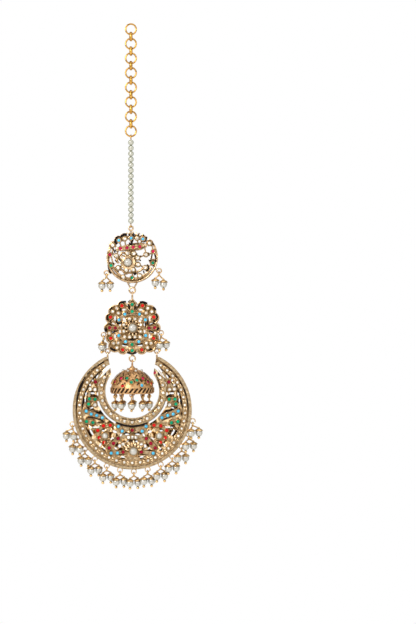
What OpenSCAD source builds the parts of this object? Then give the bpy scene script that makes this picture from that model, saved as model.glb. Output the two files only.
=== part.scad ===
/* [Plates] */
// Thickness of the raised rims of every plate
rim_t = 1.4; // [1.2:0.1:1.6]
// Depth of the pierced sheet's front face under the back face of the rims
sheet_front = 0.75; // [0.7:0.05:0.8]
// Radius of the top medallion
top_r = 11.3; // [11.2:0.1:11.5]
// Outer radius of the crescent
crescent_r = 26.2; // [26.1:0.1:26.3]
// Radius of the crescent's round opening
opening_r = 11.8; // [11.7:0.1:11.9]
// Outer radius of the hollow dome
dome_r = 9.4; // [9.3:0.1:9.4]

/* [Stones and pearls] */
// Radius of the red, garnet and green cut stones
cut_r = 0.72; // [0.65:0.01:0.75]
// Radius of the turquoise cabochons
cabochon_r = 0.68; // [0.6:0.01:0.7]
// Radius of the white stones on the crescent's rim
white_r = 0.5; // [0.45:0.01:0.55]
// Radius of the fringe pearls
fringe_pearl_r = 1.52; // [1.45:0.01:1.55]
// Radius of the pearls on the string
string_pearl_r = 1.18; // [1.1:0.01:1.18]
// Gap between a stone and its setting
seat_gap = 0.05; // [0.03:0.01:0.08]

/* [Chain and drops] */
// Distance between the big links
link_pitch = 6.4; // [6.4:0.05:6.5]
// Radius of a big link to the middle of its wire
link_r = 2.3; // [2.25:0.01:2.3]
// Number of pearls on the string
string_count = 15; // [10:1:15]
// Angle between two rings of the fringe
fringe_step = 13; // [13:0.1:13.4]
// Drop from a fringe ring to its pearls
fringe_drop = 5.2; // [5.1:0.05:5.4]
// Number of drops under the dome
dome_drops = 10; // [6:2:10]
// Length of the ear post
post_len = 10; // [8:0.5:12]
// Radius of the ear post
post_r = 0.45; // [0.4:0.01:0.5]

/* [Hidden] */
$fn = 32;
// The plane in which the wires of all hinging rings lie
pivot_y = -rim_t / 2;
// Raised settings stand this far in front of the back faces
setting_front = 1.3;
stone_floor = sheet_front + seat_gap;
string_x = -0.6;
// Bail and ring at the top and the foot of the top medallion
bail_z = 12.6;
top_ring_z = -14.65;
// Middle medallion
middle_z = -31.24;
middle_pivot_z = top_ring_z - 1.3;
carry_x = 10.8;
carry_z = -41.4;
jhumki_ring_z = -44.66;
// Crescent
crescent_z = -67.25;
opening_z = 8.2;
crescent_pivot_z = carry_z - 1.0;
rim_stones = 17;
rim_stone_step = 8.67;
rim_stone_at = 23.25;
fringe_at = crescent_r + 0.85;
fringe_ring_r = 1.08;
side_ring_r = 1.0;
// Dome
dome_z = -58.55;
jhumki_pivot_z = jhumki_ring_z - 1.3;
dome_pearl_drop = 4.6;
dome_pearl_r = 1.45;
// String
chain_z = 55.35;
pearl_pitch = 2.46;
string_top = 50.3;
string_low = string_top - pearl_pitch * (string_count - 1);

rose = [0.82, 0.66, 0.52];
yellow = [0.86, 0.62, 0.2];
ivory = [0.93, 0.91, 0.85];
ruby = [0.75, 0.08, 0.27];
red = [0.85, 0.08, 0.1];
garnet = [0.55, 0.0, 0.16];
emerald = [0.0, 0.6, 0.42];
turquoise = [0.32, 0.74, 0.88];

// Top medallion, from its centre: [x, z]
top_ruby_at = [[-5.1, 3.7], [-2.3, 4.0], [0.5, 4.3], [3.3, 4.5], [-9.8, 1.0], [9.2, 2.4]];
top_emerald_at = [[-9.3, -3.8], [9.1, -2.6], [-0.1, -9.2]];
top_turquoise_at = [[-5.9, 7.3], [-0.5, 8.3], [4.7, 7.9]];
top_white_at = [[-3.3, 8.0], [2.1, 8.2], [-8.6, 5.2], [7.6, 6.0], [-2.0, 1.6], [0.7, 1.5],
    [-7.0, 0.5], [-4.5, -0.2], [2.4, -0.4], [6.0, 1.0], [2.6, -3.4], [5.7, -4.7],
    [-6.2, -4.8], [-2.6, -5.8], [0.4, -5.6], [-3.9, -8.9], [3.3, -8.3]];
top_pearl_at = [-1.9, -2.4];
top_pearl_r = 1.8;
// Outer ends of the crown's ribs, two for each lobe: [from x, from z, to x, to z]
crown_ribs = [[-8.6, 5.2, -9.8, 4.6], [-8.6, 5.2, -8.2, 7.0], [-5.9, 7.3, -7.1, 8.2],
    [-5.9, 7.3, -4.9, 9.6], [-3.3, 8.0, -4.0, 10.2], [-3.3, 8.0, -2.4, 10.7],
    [-0.5, 8.3, -1.5, 11.0], [-0.5, 8.3, 0.4, 11.2], [-0.5, 8.3, -0.6, 11.8], [2.1, 8.2, 1.7, 10.9],
    [-3.3, 8.0, -2.9, 4.2], [2.1, 8.2, 2.7, 4.6],
    [2.1, 8.2, 3.1, 10.5], [4.7, 7.9, 4.3, 10.2], [4.7, 7.9, 6.0, 9.1],
    [7.6, 6.0, 7.3, 8.3], [7.6, 6.0, 9.3, 5.9], [-5.9, 7.3, -4.6, 3.7],
    [-0.5, 8.3, -0.6, 4.1], [4.7, 7.9, 2.6, 4.4], [-8.6, 5.2, -6.0, 3.6],
    [7.6, 6.0, 4.8, 4.8]];
// Bars of the medallion's lower half and sides: [from x, from z, to x, to z]
top_bars = [[-10.6, 1.0, -9.2, 4.6], [-10.0, 1.0, -10.6, -3.0], [-8.9, 1.0, -8.4, 4.8],
    [-9.4, 0.6, -8.4, -3.0], [9.2, 2.4, 8.5, 6.0], [9.4, 2.4, 10.2, 4.6],
    [8.9, 2.2, 8.2, -1.6], [9.6, 2.2, 10.6, -1.6], [-7.0, 0.5, -8.6, 1.6],
    [-7.0, 0.5, -4.5, -0.2], [-7.0, 0.5, -6.0, 3.4], [6.0, 1.0, 8.6, 1.6],
    [6.0, 1.0, 2.4, -0.4], [6.0, 1.0, 5.4, 4.6], [-6.2, -4.8, -4.4, -4.2],
    [-6.2, -4.8, -8.4, -4.6], [5.7, -4.7, 2.6, -3.4], [5.7, -4.7, 8.2, -3.6],
    [5.7, -4.7, 7.4, -7.2], [-2.6, -5.8, -3.9, -8.9], [0.4, -5.6, -0.1, -9.2],
    [0.4, -5.6, 3.3, -8.3], [-3.9, -8.9, -1.4, -10.6], [3.3, -8.3, 1.4, -10.6],
    [-0.1, -9.2, -3.2, -10.2], [-0.1, -9.2, 3.4, -10.2], [-2.4, -10.6, -0.6, -14.0],
    [2.4, -10.6, 0.6, -14.0], [-2.2, 1.6, -2.3, 4.0], [0.7, 1.5, 0.5, 4.3],
    [2.6, -3.4, 0.4, -2.8], [-9.2, -5.7, -10.4, -6.4], [9.5, -4.9, 10.9, -5.6]];
// Side drops: [ring x, ring z, [pearl x, pearl y, pearl z], [pearl x, pearl y, pearl z]]
top_drops = [
    [-11.3, -7.0, [-13.3, -0.9, -12.7], [-9.8, 0.1, -12.6]],
    [11.8, -6.1, [10.1, -0.9, -11.4], [13.7, 0.1, -12.0]]];

// Middle medallion, from its centre, mirrored: [x, z]
middle_red_at = [[4.5, 9.8], [9.5, 4.8], [9.4, -4.5], [4.2, -9.6]];
middle_garnet_at = [[9.9, 0.1], [7.4, 0.0]];
middle_emerald_at = [[0, 10.3], [0, 7.3], [0, -7.2], [0, -9.9]];
middle_turquoise_at = [[3.2, 6.1], [5.8, 3.6], [5.9, -3.3], [2.9, -6.0]];
middle_white_at = [[6.8, 8.7], [8.6, 7.2], [6.1, 6.6], [1.2, 4.0], [3.7, 1.4], [3.7, -1.5],
    [1.2, -3.9], [3.4, -3.9], [10.1, -2.3], [8.2, -6.7], [6.2, -6.6], [6.7, -8.6]];
middle_pearl_at = [0.2, 0.1];
middle_pearl_r = 1.9;
// Lobes round the cushion: [x, z, radius]
middle_lobes = [[4.5, 9.4, 2.5], [7.6, 7.2, 3.0], [9.4, 4.4, 2.5], [9.8, 0.0, 2.7],
    [9.3, -4.3, 2.5], [7.6, -7.7, 3.1], [4.1, -9.2, 2.5]];
// Gaps through the cushion: [x, z, width, height, turn]
middle_gaps = [[3.5, 3.6, 1.2, 2.3, -25], [3.4, 8.0, 2.3, 0.9, 0], [7.6, 4.2, 0.8, 2.2, 0],
    [7.6, -3.6, 0.8, 2.0, 0], [4.4, -4.9, 1.0, 1.0, 0], [3.4, -7.7, 2.2, 0.8, 0],
    [10.7, -7.4, 0.9, 1.5, 0], [2.2, 10.4, 0.8, 1.4, -15], [5.4, 1.6, 0.8, 1.5, 0],
    [5.4, -1.5, 0.8, 1.3, 0], [8.3, 1.9, 1.6, 0.5, 20], [8.3, -1.8, 1.6, 0.5, -20]];
middle_drops = [
    [-12.6, -34.2, [-13.3, -2.4, -39.6], [-12.9, 1.3, -39.3]],
    [12.7, -33.4, [12.1, -3.1, -38.8], [14.9, -0.9, -38.7]]];

// Crescent, from its centre, mirrored: [x, z]
crescent_red_at = [[9.6, -6.7], [12.6, -7.0], [15.2, -9.0], [14.5, -12.2], [12.4, -14.3]];
crescent_garnet_at = [[16.1, 12.3], [6.2, -12.5], [8.2, -14.7], [10.1, -16.7], [4.0, -18.5],
    [0, -8.9]];
crescent_emerald_at = [[18.8, 4.8], [16.3, 4.7], [19.2, 2.6], [20.1, -5.1], [17.3, -5.6]];
crescent_turquoise_at = [[20.2, -0.5], [18.0, -1.8], [15.6, -2.4], [13.1, -3.4], [9.2, -19.0],
    [6.1, -7.2], [4.4, -9.3]];
single_turquoise_at = [-6.5, -18.9];
crescent_white_at = [[18.5, 9.2], [16.4, 9.0], [16.4, 2.2], [4.0, -15.1], [1.6, -12], [0, -12]];
side_pearl_at = [11.9, -11.3];
side_pearl_r = 1.35;
lotus_pearl_at = [0.6, -18.1];
lotus_pearl_r = 1.75;
// Gaps through the crescent's field, mirrored: [x, z, width, height, turn]
crescent_gaps = [[15.9, -7.6, 4.6, 0.7, -3], [17.9, -9.9, 0.9, 3.2, -30],
    [14.1, -15.4, 0.9, 1.7, 30], [12.3, -17.0, 0.8, 0.9, 0], [8.8, -12.6, 1.9, 0.8, -25],
    [5.6, -15.9, 1.3, 1.5, 0], [4.1, -20.7, 1.8, 0.8, 10], [7.7, -9.6, 1.9, 1.1, 20],
    [5.0, -11.0, 0.8, 1.6, 30], [2.3, -10.8, 2.0, 0.8, 0], [1.9, -14.0, 1.1, 1.0, 0],
    [7.3, -16.9, 1.4, 0.7, 40], [15.2, 14.6, 1.1, 2.0, 35], [17.7, 13.3, 0.8, 1.9, -30],
    [14.6, 11.2, 1.0, 2.0, 10], [18.4, 10.9, 1.3, 0.9, 30], [17.5, 7.3, 2.4, 0.8, 0],
    [15.2, 7.0, 0.9, 1.5, 0], [20.3, 7.0, 0.8, 1.6, 15], [14.9, 2.4, 0.7, 1.8, -10],
    [17.8, 0.9, 1.5, 0.6, -20], [20.7, 4.2, 0.6, 1.8, 0], [12.6, -9.2, 1.6, 0.7, 15]];
// Mouth between the outer band and the tip of the inner band, mirrored
horn_mouth = [[9.0, 20.5], [11.4, 19.2], [13.3, 16.9], [14.6, 14.9], [14.6, 13.8], [12.6, 15.3],
    [11.4, 16.8], [9.0, 19.0]];
// Raised strips between settings, mirrored: [from x, from z, to x, to z, width]
crescent_strips = [[20.9, -0.2, 12.0, -4.0, 2.0], [20.6, -5.0, 16.6, -5.7, 2.0],
    [9.6, -6.7, 12.6, -7.0, 1.4], [12.6, -7.0, 15.2, -9.0, 1.4],
    [15.2, -9.0, 14.5, -12.2, 1.4], [14.5, -12.2, 12.4, -14.3, 1.4],
    [5.4, -11.7, 10.8, -17.4, 2.0], [4.0, -18.5, 9.4, -19.1, 1.6], [6.6, -6.4, 3.8, -10.2, 1.8],
    [18.5, 9.2, 16.1, 12.3, 1.0], [16.4, 9.0, 16.1, 12.3, 1.0], [18.8, 4.8, 16.3, 4.7, 1.8],
    [16.1, 12.3, 13.2, 16.8, 0.8], [18.6, 9.2, 19.0, 5.0, 0.9], [16.4, 2.2, 17.0, 4.6, 0.9]];
// Fringe pearls of each cluster, from the left: [shift outwards, left pearl y, right pearl y]
fringe_lay = [[-1.0, 0.1, -2.8], [-0.4, 0.1, -2.8], [0, 0.1, -2.8], [0, -1.55, 0.55],
    [0, -1.55, 0.55], [0, -1.55, 0.55], [0, -1.55, 0.55], [0, -1.55, 0.55], [0, -1.55, 0.55],
    [0, -1.55, 0.55], [0, -2.8, 0.1], [0.4, -2.8, 0.1], [1.0, -2.8, 0.1]];
fringe_spread = 1.68;

// Stones on the front half of the dome, repeated on the back: [degrees from the front, height]
jhumki_red_at = [[67, 18], [-24, 13.5]];
jhumki_garnet_at = [[-35, 34], [38, 34], [-56, 23], [52, 23]];
jhumki_emerald_at = [[-15, 35], [0, 23], [16, 29]];
jhumki_turquoise_at = [[-78, 23], [29, 14.5]];

// A sheet cut from the outline in its children, between two depths behind the front
module slab(back, front) {
    translate([0, -back, 0])
        rotate([90, 0, 0])
            linear_extrude(front - back)
                children();
}

// The children and their mirror image
module both_sides() {
    children();
    mirror([1, 0, 0]) children();
}

// A straight bar from a to b
module bar(a, b, w) {
    run = b - a;
    translate(a)
        rotate(atan2(run[1], run[0]))
            translate([0, -w / 2])
                square([norm(run), w]);
}

module leaf_gap(g) {
    translate([g[0], g[1]])
        rotate(g[4])
            resize([g[2], g[3]])
                circle(r = 1, $fn = 12);
}

module discs(points, r) {
    for (p = points) translate([p[0], p[1]]) circle(r = r, $fn = 20);
}

// Ring of round wire that faces the front
module front_ring(x, z, r, wire) {
    translate([x, pivot_y, z])
        rotate([90, 0, 0])
            rotate_extrude()
                translate([r, 0])
                    circle(r = wire);
}

// Ring of round wire seen edge on from the front
module edge_ring(x, z, r, wire, turn = 0) {
    translate([x, pivot_y, z])
        rotate([0, 90, 0])
            rotate(turn)
                rotate_extrude()
                    translate([r, 0])
                        circle(r = wire);
}

module upright(x, z_low, z_high, r) {
    translate([x, pivot_y, z_low]) cylinder(r = r, h = z_high - z_low);
}

module wire_between(a, b, r) {
    run = b - a;
    flat = norm([run[0], run[1]]);
    translate(a)
        rotate([0, atan2(flat, run[2]), atan2(run[1], run[0])])
            cylinder(r = r, h = norm(run));
}

// Eight side facets and a flat table, in a pocket that opens to the front
module cut_stone(p, r = cut_r) {
    translate([p[0], -stone_floor, p[1]])
        rotate([90, 0, 0])
            rotate(22.5)
                cylinder(r1 = r, r2 = r * 0.6, h = 0.85, $fn = 8);
}

module cabochon(p, r = cabochon_r) {
    translate([p[0], -stone_floor, p[1]])
        rotate([90, 0, 0])
            rotate_extrude()
                intersection() {
                    translate([0, -r * 0.3]) circle(r = r * 1.35);
                    square([r, r * 2]);
                }
}

// Cap over a pearl at the origin, its pin and the ball under it
module pearl_mount(r, pin_top = 0.4) {
    rotate_extrude()
        intersection() {
            difference() {
                circle(r = r + 0.26);
                circle(r = r + 0.08);
            }
            translate([0, r * 0.66]) square([r * 2, r]);
        }
    translate([0, 0, -r - 0.5]) cylinder(r = 0.2, h = 2 * r + 0.5 + pin_top);
    translate([0, 0, -r - 0.62]) sphere(r = 0.5);
}

module drilled_pearl(r, bore = 0.3) {
    difference() {
        sphere(r = r);
        translate([0, 0, -r - 1]) cylinder(r = bore, h = 2 * r + 2);
    }
}

// Link in a ring that faces the front, with a leg from its solder ball to a ball over each pearl
module drop_link(x, z, pearls, r, ring_r) {
    eye_z = z - ring_r - 0.08;
    edge_ring(x, eye_z, 0.62, 0.2, 130);
    foot = [x, pivot_y, eye_z - 0.85];
    translate(foot) rotate(90) sphere(r = 0.4);
    for (p = pearls) {
        away = atan2(p[1] - foot[1], p[0] - foot[0]);
        wire_between(foot, p + [0, 0, r + 0.62], 0.16);
        translate(p) rotate(away) {
            pearl_mount(r, 0.62);
            translate([0, 0, r + 0.62]) sphere(r = 0.3);
        }
    }
}

module hair_ring() {
    color(yellow) front_ring(string_x, chain_z + 7 * link_pitch, link_r, 0.36);
}

module ear_chain() {
    color(yellow)
        for (i = [0:6]) {
            front_ring(string_x, chain_z + i * link_pitch, link_r, 0.36);
            edge_ring(string_x, chain_z + (i + 0.5) * link_pitch, 1.68, 0.3);
        }
}

module string_wire() {
    color(yellow) {
        edge_ring(string_x, 52.85, 0.85, 0.25);
        upright(string_x, 13.6 + 0.7, 52.0, 0.2);
        edge_ring(string_x, 13.6, 0.72, 0.22);
    }
}

module string_pearls() {
    color(ivory)
        for (i = [0:string_count - 1])
            translate([string_x, pivot_y, string_low + i * pearl_pitch])
                drilled_pearl(string_pearl_r);
}

module top_pierced() {
    difference() {
        circle(r = top_r - 0.1, $fn = 64);
        circle(r = top_r - 0.85, $fn = 64);
        translate([-9, 6.2]) square([18, 8]);
    }
    for (b = concat(crown_ribs, top_bars)) bar([b[0], b[1]], [b[2], b[3]], 0.55);
    discs(top_ruby_at, cut_r + 0.42);
    discs(top_emerald_at, cut_r + 0.42);
    discs(top_turquoise_at, cabochon_r + 0.55);
    discs(top_white_at, white_r + 0.42);
    translate(top_pearl_at) circle(r = 3.1, $fn = 24);
    circle(r = 1.7, $fn = 24);
    polygon([[-7.6, 3.2], [-2.0, 5.1], [3.2, 5.7], [7.0, 5.4], [3.6, 3.4], [-1.6, 2.9]]);
    polygon([[-11.0, -2.6], [-7.4, -2.8], [-9.6, -6.0]]);
    polygon([[11.1, -1.4], [7.0, -1.2], [9.8, -5.0]]);
    difference() {
        circle(r = 9.9, $fn = 64);
        circle(r = 9.2, $fn = 64);
        translate([-12, -6.0]) square([24, 20]);
    }
    difference() {
        translate([0, 1.0]) circle(r = 11.4, $fn = 64);
        translate([0, 1.0]) circle(r = 10.8, $fn = 64);
        translate([-12, -7.6]) square([24, 22]);
    }
}

module top_frame() {
    color(rose) {
        slab(0.1, sheet_front) offset(delta = 0.01) top_pierced();
        slab(0.3, setting_front)
            offset(delta = 0.01)
                difference() {
                    union() {
                        discs(top_ruby_at, cut_r + 0.3);
                        discs(top_emerald_at, cut_r + 0.3);
                        discs(top_turquoise_at, cabochon_r + 0.4);
                        discs(top_white_at, white_r + 0.3);
                        bar([-7.0, 3.4], [-2.3, 4.0], 1.5);
                        bar([-2.3, 4.0], [6.4, 5.1], 1.5);
                    }
                    discs(top_ruby_at, cut_r + seat_gap);
                    discs(top_emerald_at, cut_r + seat_gap);
                    discs(top_turquoise_at, cabochon_r + seat_gap);
                    discs(top_white_at, white_r + seat_gap);
                }
        pearl_cup(top_pearl_at, top_pearl_r, 1.5);
        slab(0, rim_t)
            difference() {
                circle(r = top_r);
                circle(r = top_r - 0.5);
                translate([-top_r - 1, 1.0]) square([2 * top_r + 2, top_r + 1]);
            }
        translate([0, -0.4, 0]) rotate([-90, 0, 0]) cylinder(r = 1.4, h = 0.4);
        front_ring(string_x, bail_z, 0.95, 0.28);
        front_ring(0, top_ring_z, 1.3, 0.33);
        for (d = top_drops) front_ring(d[0], d[1], side_ring_r, 0.25);
    }
}

module ear_post() {
    color(rose)
        rotate([-90, 0, 0]) {
            translate([0, 0, seat_gap]) cylinder(r = 1.2, h = 0.4);
            translate([0, 0, seat_gap + 0.3]) cylinder(r = post_r, h = post_len - 0.3);
        }
}

module top_rubies() {
    color(ruby) for (p = top_ruby_at) cut_stone(p);
}

module top_emeralds() {
    color(emerald) for (p = top_emerald_at) cut_stone(p);
}

module top_turquoises() {
    color(turquoise) for (p = top_turquoise_at) cabochon(p);
}

// A pearl set on the front, resting on the sheet inside its cup
module set_pearl(p, r) {
    translate([p[0], -stone_floor - r, p[1]]) sphere(r = r);
}

// Cup with a sloping skirt round a set pearl
module pearl_cup(p, r, skirt) {
    translate([p[0], 0, p[1]])
        rotate([90, 0, 0])
            rotate_extrude()
                polygon([[r + seat_gap, 0.5], [r + skirt, 0.5], [r + skirt, setting_front - 0.2],
                    [r + 0.45, setting_front + 0.3], [r + 0.4, stone_floor + r * 0.7],
                    [r + seat_gap, stone_floor + r * 0.7]]);
}

module top_pearl() {
    color(ivory) set_pearl(top_pearl_at, top_pearl_r);
}

module drop_links(drops, r) {
    for (d = drops) drop_link(d[0], d[1], [d[2], d[3]], r, side_ring_r);
}

module drop_pearls(drops, r) {
    for (d = drops) for (p = [d[2], d[3]]) translate(p) drilled_pearl(r);
}

module top_drop_links() {
    color(rose) drop_links(top_drops, fringe_pearl_r);
}

module top_drop_pearls() {
    color(ivory) drop_pearls(top_drops, fringe_pearl_r);
}

module middle_outline() {
    circle(r = 8.6, $fn = 48);
    both_sides() for (l = middle_lobes) translate([l[0], l[1]]) circle(r = l[2], $fn = 28);
    translate([0, 9.6]) rotate(45) square([5.0, 5.0], center = true);
    translate([0, -9.2]) circle(r = 2.6, $fn = 28);
}

module middle_frame() {
    color(rose) {
        translate([0, 0, middle_z]) {
            slab(0, sheet_front)
                offset(delta = 0.01)
                    difference() {
                        middle_outline();
                        both_sides() for (g = middle_gaps) leaf_gap(g);
                    }
            slab(0.2, setting_front)
                offset(delta = 0.01)
                    difference() {
                        union() {
                            difference() {
                                offset(delta = -0.12) middle_outline();
                                offset(delta = -0.55) middle_outline();
                            }
                            both_sides() {
                                discs(middle_red_at, cut_r + 0.36);
                                discs(middle_garnet_at, cut_r + 0.36);
                                discs(middle_turquoise_at, cabochon_r + 0.4);
                                discs(middle_white_at, white_r + 0.3);
                                bar([5.8, 3.6], [3.2, 6.1], 1.3);
                                bar([3.2, 6.1], [0, 6.3], 1.1);
                                bar([5.9, -3.3], [2.9, -6.0], 1.3);
                                bar([2.9, -6.0], [0, -6.3], 1.1);
                                bar([9.9, 0.1], [5.9, 0], 1.6);
                            }
                            discs(middle_emerald_at, cut_r + 0.42);
                            bar([0, 7.0], [0, 10.5], 1.6);
                            bar([0, -7.0], [0, -10.2], 1.6);
                        }
                        both_sides() {
                            discs(middle_red_at, cut_r + seat_gap);
                            discs(middle_garnet_at, cut_r + seat_gap);
                            discs(middle_turquoise_at, cabochon_r + seat_gap);
                            discs(middle_white_at, white_r + seat_gap);
                        }
                        discs(middle_emerald_at, cut_r + seat_gap);
                    }
            pearl_cup(middle_pearl_at, middle_pearl_r, 0.9);
        }
        edge_ring(0, middle_pivot_z - 0.15, 0.85, 0.27);
        upright(0, middle_z + 12.4, middle_pivot_z - 0.9, 0.4);
        front_ring(0, jhumki_ring_z, 1.3, 0.33);
        both_sides() front_ring(carry_x, carry_z, 1.0, 0.3);
        for (d = middle_drops) front_ring(d[0], d[1], side_ring_r, 0.25);
    }
}

module middle_reds() {
    color(red)
        translate([0, 0, middle_z]) both_sides() for (p = middle_red_at) cut_stone(p);
}

module middle_garnets() {
    color(garnet)
        translate([0, 0, middle_z]) both_sides() for (p = middle_garnet_at) cut_stone(p);
}

module middle_emeralds() {
    color(emerald) translate([0, 0, middle_z]) for (p = middle_emerald_at) cut_stone(p);
}

module middle_turquoises() {
    color(turquoise)
        translate([0, 0, middle_z]) both_sides() for (p = middle_turquoise_at) cabochon(p);
}

module middle_pearl() {
    color(ivory) translate([0, 0, middle_z]) set_pearl(middle_pearl_at, middle_pearl_r);
}

module middle_drop_links() {
    color(rose) drop_links(middle_drops, fringe_pearl_r);
}

module middle_drop_pearls() {
    color(ivory) drop_pearls(middle_drops, fringe_pearl_r);
}

// The way up from the round opening between the horns
module throat(grow) {
    w = grow;
    polygon([[-9.35 - w, 12], [-9.35 - w, 16.5], [-9.7 - w, 19], [-10.4 - w, 22.4], [-10.4 - w, 30],
        [10.4 + w, 30], [10.4 + w, 22.4], [9.7 + w, 19], [9.35 + w, 16.5], [9.35 + w, 12]]);
}

module crescent_band(r_out, r_in, cut_top) {
    difference() {
        circle(r = r_out, $fn = 96);
        circle(r = r_in, $fn = 96);
        translate([0, opening_z]) circle(r = opening_r + 0.05, $fn = 64);
        throat(0.05);
        translate([-30, cut_top]) square([60, 20]);
    }
}

module inner_band(r_out, r_in, reach) {
    difference() {
        intersection() {
            circle(r = crescent_r - 1, $fn = 96);
            union() {
                difference() {
                    translate([0, opening_z]) circle(r = r_out, $fn = 64);
                    translate([0, opening_z + 7]) translate([-20, 0]) square([40, 20]);
                }
                throat(r_out - opening_r - 1.2);
            }
        }
        translate([0, opening_z]) circle(r = r_in, $fn = 64);
        throat(r_in - opening_r);
        translate([-30, reach]) square([60, 20]);
        both_sides() polygon(horn_mouth);
    }
}

function rim_point(i) =
    rim_stone_at * [sin(i * rim_stone_step), -cos(i * rim_stone_step)];
function inner_point(i) =
    [0, opening_z] + 13.6 * [sin(i * 14.5), -cos(i * 14.5)];

module crescent_settings(grow) {
    both_sides() {
        discs(crescent_red_at, cut_r + grow);
        discs(crescent_garnet_at, cut_r + grow);
        discs(crescent_emerald_at, cut_r + grow);
        discs(crescent_turquoise_at, cabochon_r + grow);
        discs(crescent_white_at, white_r + grow);
    }
    discs([single_turquoise_at], cabochon_r + grow);
}

// Long slot outside the inner band
module inner_slot() {
    translate([0, opening_z])
        intersection() {
            difference() {
                circle(r = 16.15, $fn = 64);
                circle(r = 15.3, $fn = 64);
            }
            polygon([[0, 0], [9.4, -17.7], [20, -20], [22, -6.5]]);
        }
}

module fringe_ring(i) {
    a = -1.5 + fringe_step * i;
    front_ring(-fringe_at * sin(a), crescent_z - fringe_at * cos(a), fringe_ring_r, 0.25);
}

module crescent_frame() {
    color(rose) {
        translate([0, 0, crescent_z]) {
            slab(0.2, sheet_front)
                offset(delta = 0.01)
                    difference() {
                        crescent_band(crescent_r - 0.4, 1, 23.0);
                        both_sides() for (g = crescent_gaps) leaf_gap(g);
                        both_sides() inner_slot();
                        both_sides() polygon(horn_mouth);
                    }
            slab(0, rim_t) offset(delta = 0.01) crescent_band(crescent_r, crescent_r - 1.3, 23.3);
            slab(0.1, setting_front)
                offset(delta = 0.01)
                    difference() {
                        crescent_band(24.2, 22.3, 21.4);
                        for (i = [-rim_stones:rim_stones])
                            translate(rim_point(i)) circle(r = white_r + seat_gap, $fn = 16);
                    }
            slab(0.1, setting_front)
                offset(delta = 0.01)
                    difference() {
                        inner_band(15.0, 12.3, 18.9);
                        for (i = [-8:8])
                            translate(inner_point(i)) circle(r = white_r, $fn = 16);
                    }
            slab(0, rim_t) offset(delta = 0.01) inner_band(12.4, opening_r, 18.9);
            slab(0.3, setting_front - 0.1)
                offset(delta = 0.01)
                    difference() {
                        union() {
                            crescent_settings(0.34);
                            both_sides()
                                for (s = crescent_strips) bar([s[0], s[1]], [s[2], s[3]], s[4]);
                        }
                        crescent_settings(seat_gap);
                    }
            both_sides() pearl_cup(side_pearl_at, side_pearl_r, 0.6);
            pearl_cup(lotus_pearl_at, lotus_pearl_r, 0.7);
        }
        both_sides() {
            edge_ring(carry_x, crescent_pivot_z - 0.13, 0.8, 0.25);
            upright(carry_x, crescent_z + 22.0, crescent_pivot_z - 0.8, 0.42);
        }
        for (i = [-6:6]) fringe_ring(i);
    }
}

module crescent_reds() {
    color(red)
        translate([0, 0, crescent_z]) both_sides() for (p = crescent_red_at) cut_stone(p);
}

module crescent_garnets() {
    color(garnet)
        translate([0, 0, crescent_z]) {
            both_sides() for (i = [0:4]) cut_stone(crescent_garnet_at[i]);
            cut_stone(crescent_garnet_at[5]);
        }
}

module crescent_emeralds() {
    color(emerald)
        translate([0, 0, crescent_z]) both_sides() for (p = crescent_emerald_at) cut_stone(p);
}

module crescent_turquoises() {
    color(turquoise)
        translate([0, 0, crescent_z]) {
            both_sides() for (p = crescent_turquoise_at) cabochon(p);
            cabochon(single_turquoise_at);
        }
}

module crescent_whites() {
    color("white")
        translate([0, 0, crescent_z])
            for (i = [-rim_stones:rim_stones]) cut_stone(rim_point(i), white_r);
}

module side_pearls() {
    color(ivory)
        translate([0, 0, crescent_z]) both_sides() set_pearl(side_pearl_at, side_pearl_r);
}

module lotus_pearl() {
    color(ivory) translate([0, 0, crescent_z]) set_pearl(lotus_pearl_at, lotus_pearl_r);
}

function fringe_x(i) = -fringe_at * sin(-1.5 + fringe_step * i);
function fringe_z(i) = crescent_z - fringe_at * cos(-1.5 + fringe_step * i);
// The two pearls under one ring of the fringe
function fringe_pair(i) = [
    [fringe_x(i) + fringe_lay[6 - i][0] - fringe_spread, fringe_lay[6 - i][1], fringe_z(i) - fringe_drop],
    [fringe_x(i) + fringe_lay[6 - i][0] + fringe_spread, fringe_lay[6 - i][2], fringe_z(i) - fringe_drop]];

module fringe_links() {
    color(rose)
        for (i = [-6:6]) drop_link(fringe_x(i), fringe_z(i), fringe_pair(i), fringe_pearl_r, fringe_ring_r);
}

module fringe_pearls() {
    color(ivory)
        for (i = [-6:6]) for (p = fringe_pair(i)) translate(p) drilled_pearl(fringe_pearl_r);
}

// The children stand out of the dome at an angle from the front and a height in degrees
module on_dome(at) {
    translate([0, pivot_y, dome_z]) rotate([0, 0, at[0]]) rotate([90 - at[1], 0, 0]) children();
}

module all_round(points) {
    for (turn = [0, 180]) for (p = points) on_dome([p[0] + turn, p[1]]) children();
}

module dome_pockets(r_cut, r_cab, low, high) {
    for (s = [jhumki_red_at, jhumki_garnet_at, jhumki_emerald_at])
        all_round(s) translate([0, 0, low]) cylinder(r = r_cut, h = high - low);
    all_round(jhumki_turquoise_at) translate([0, 0, low]) cylinder(r = r_cab, h = high - low);
}

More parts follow.
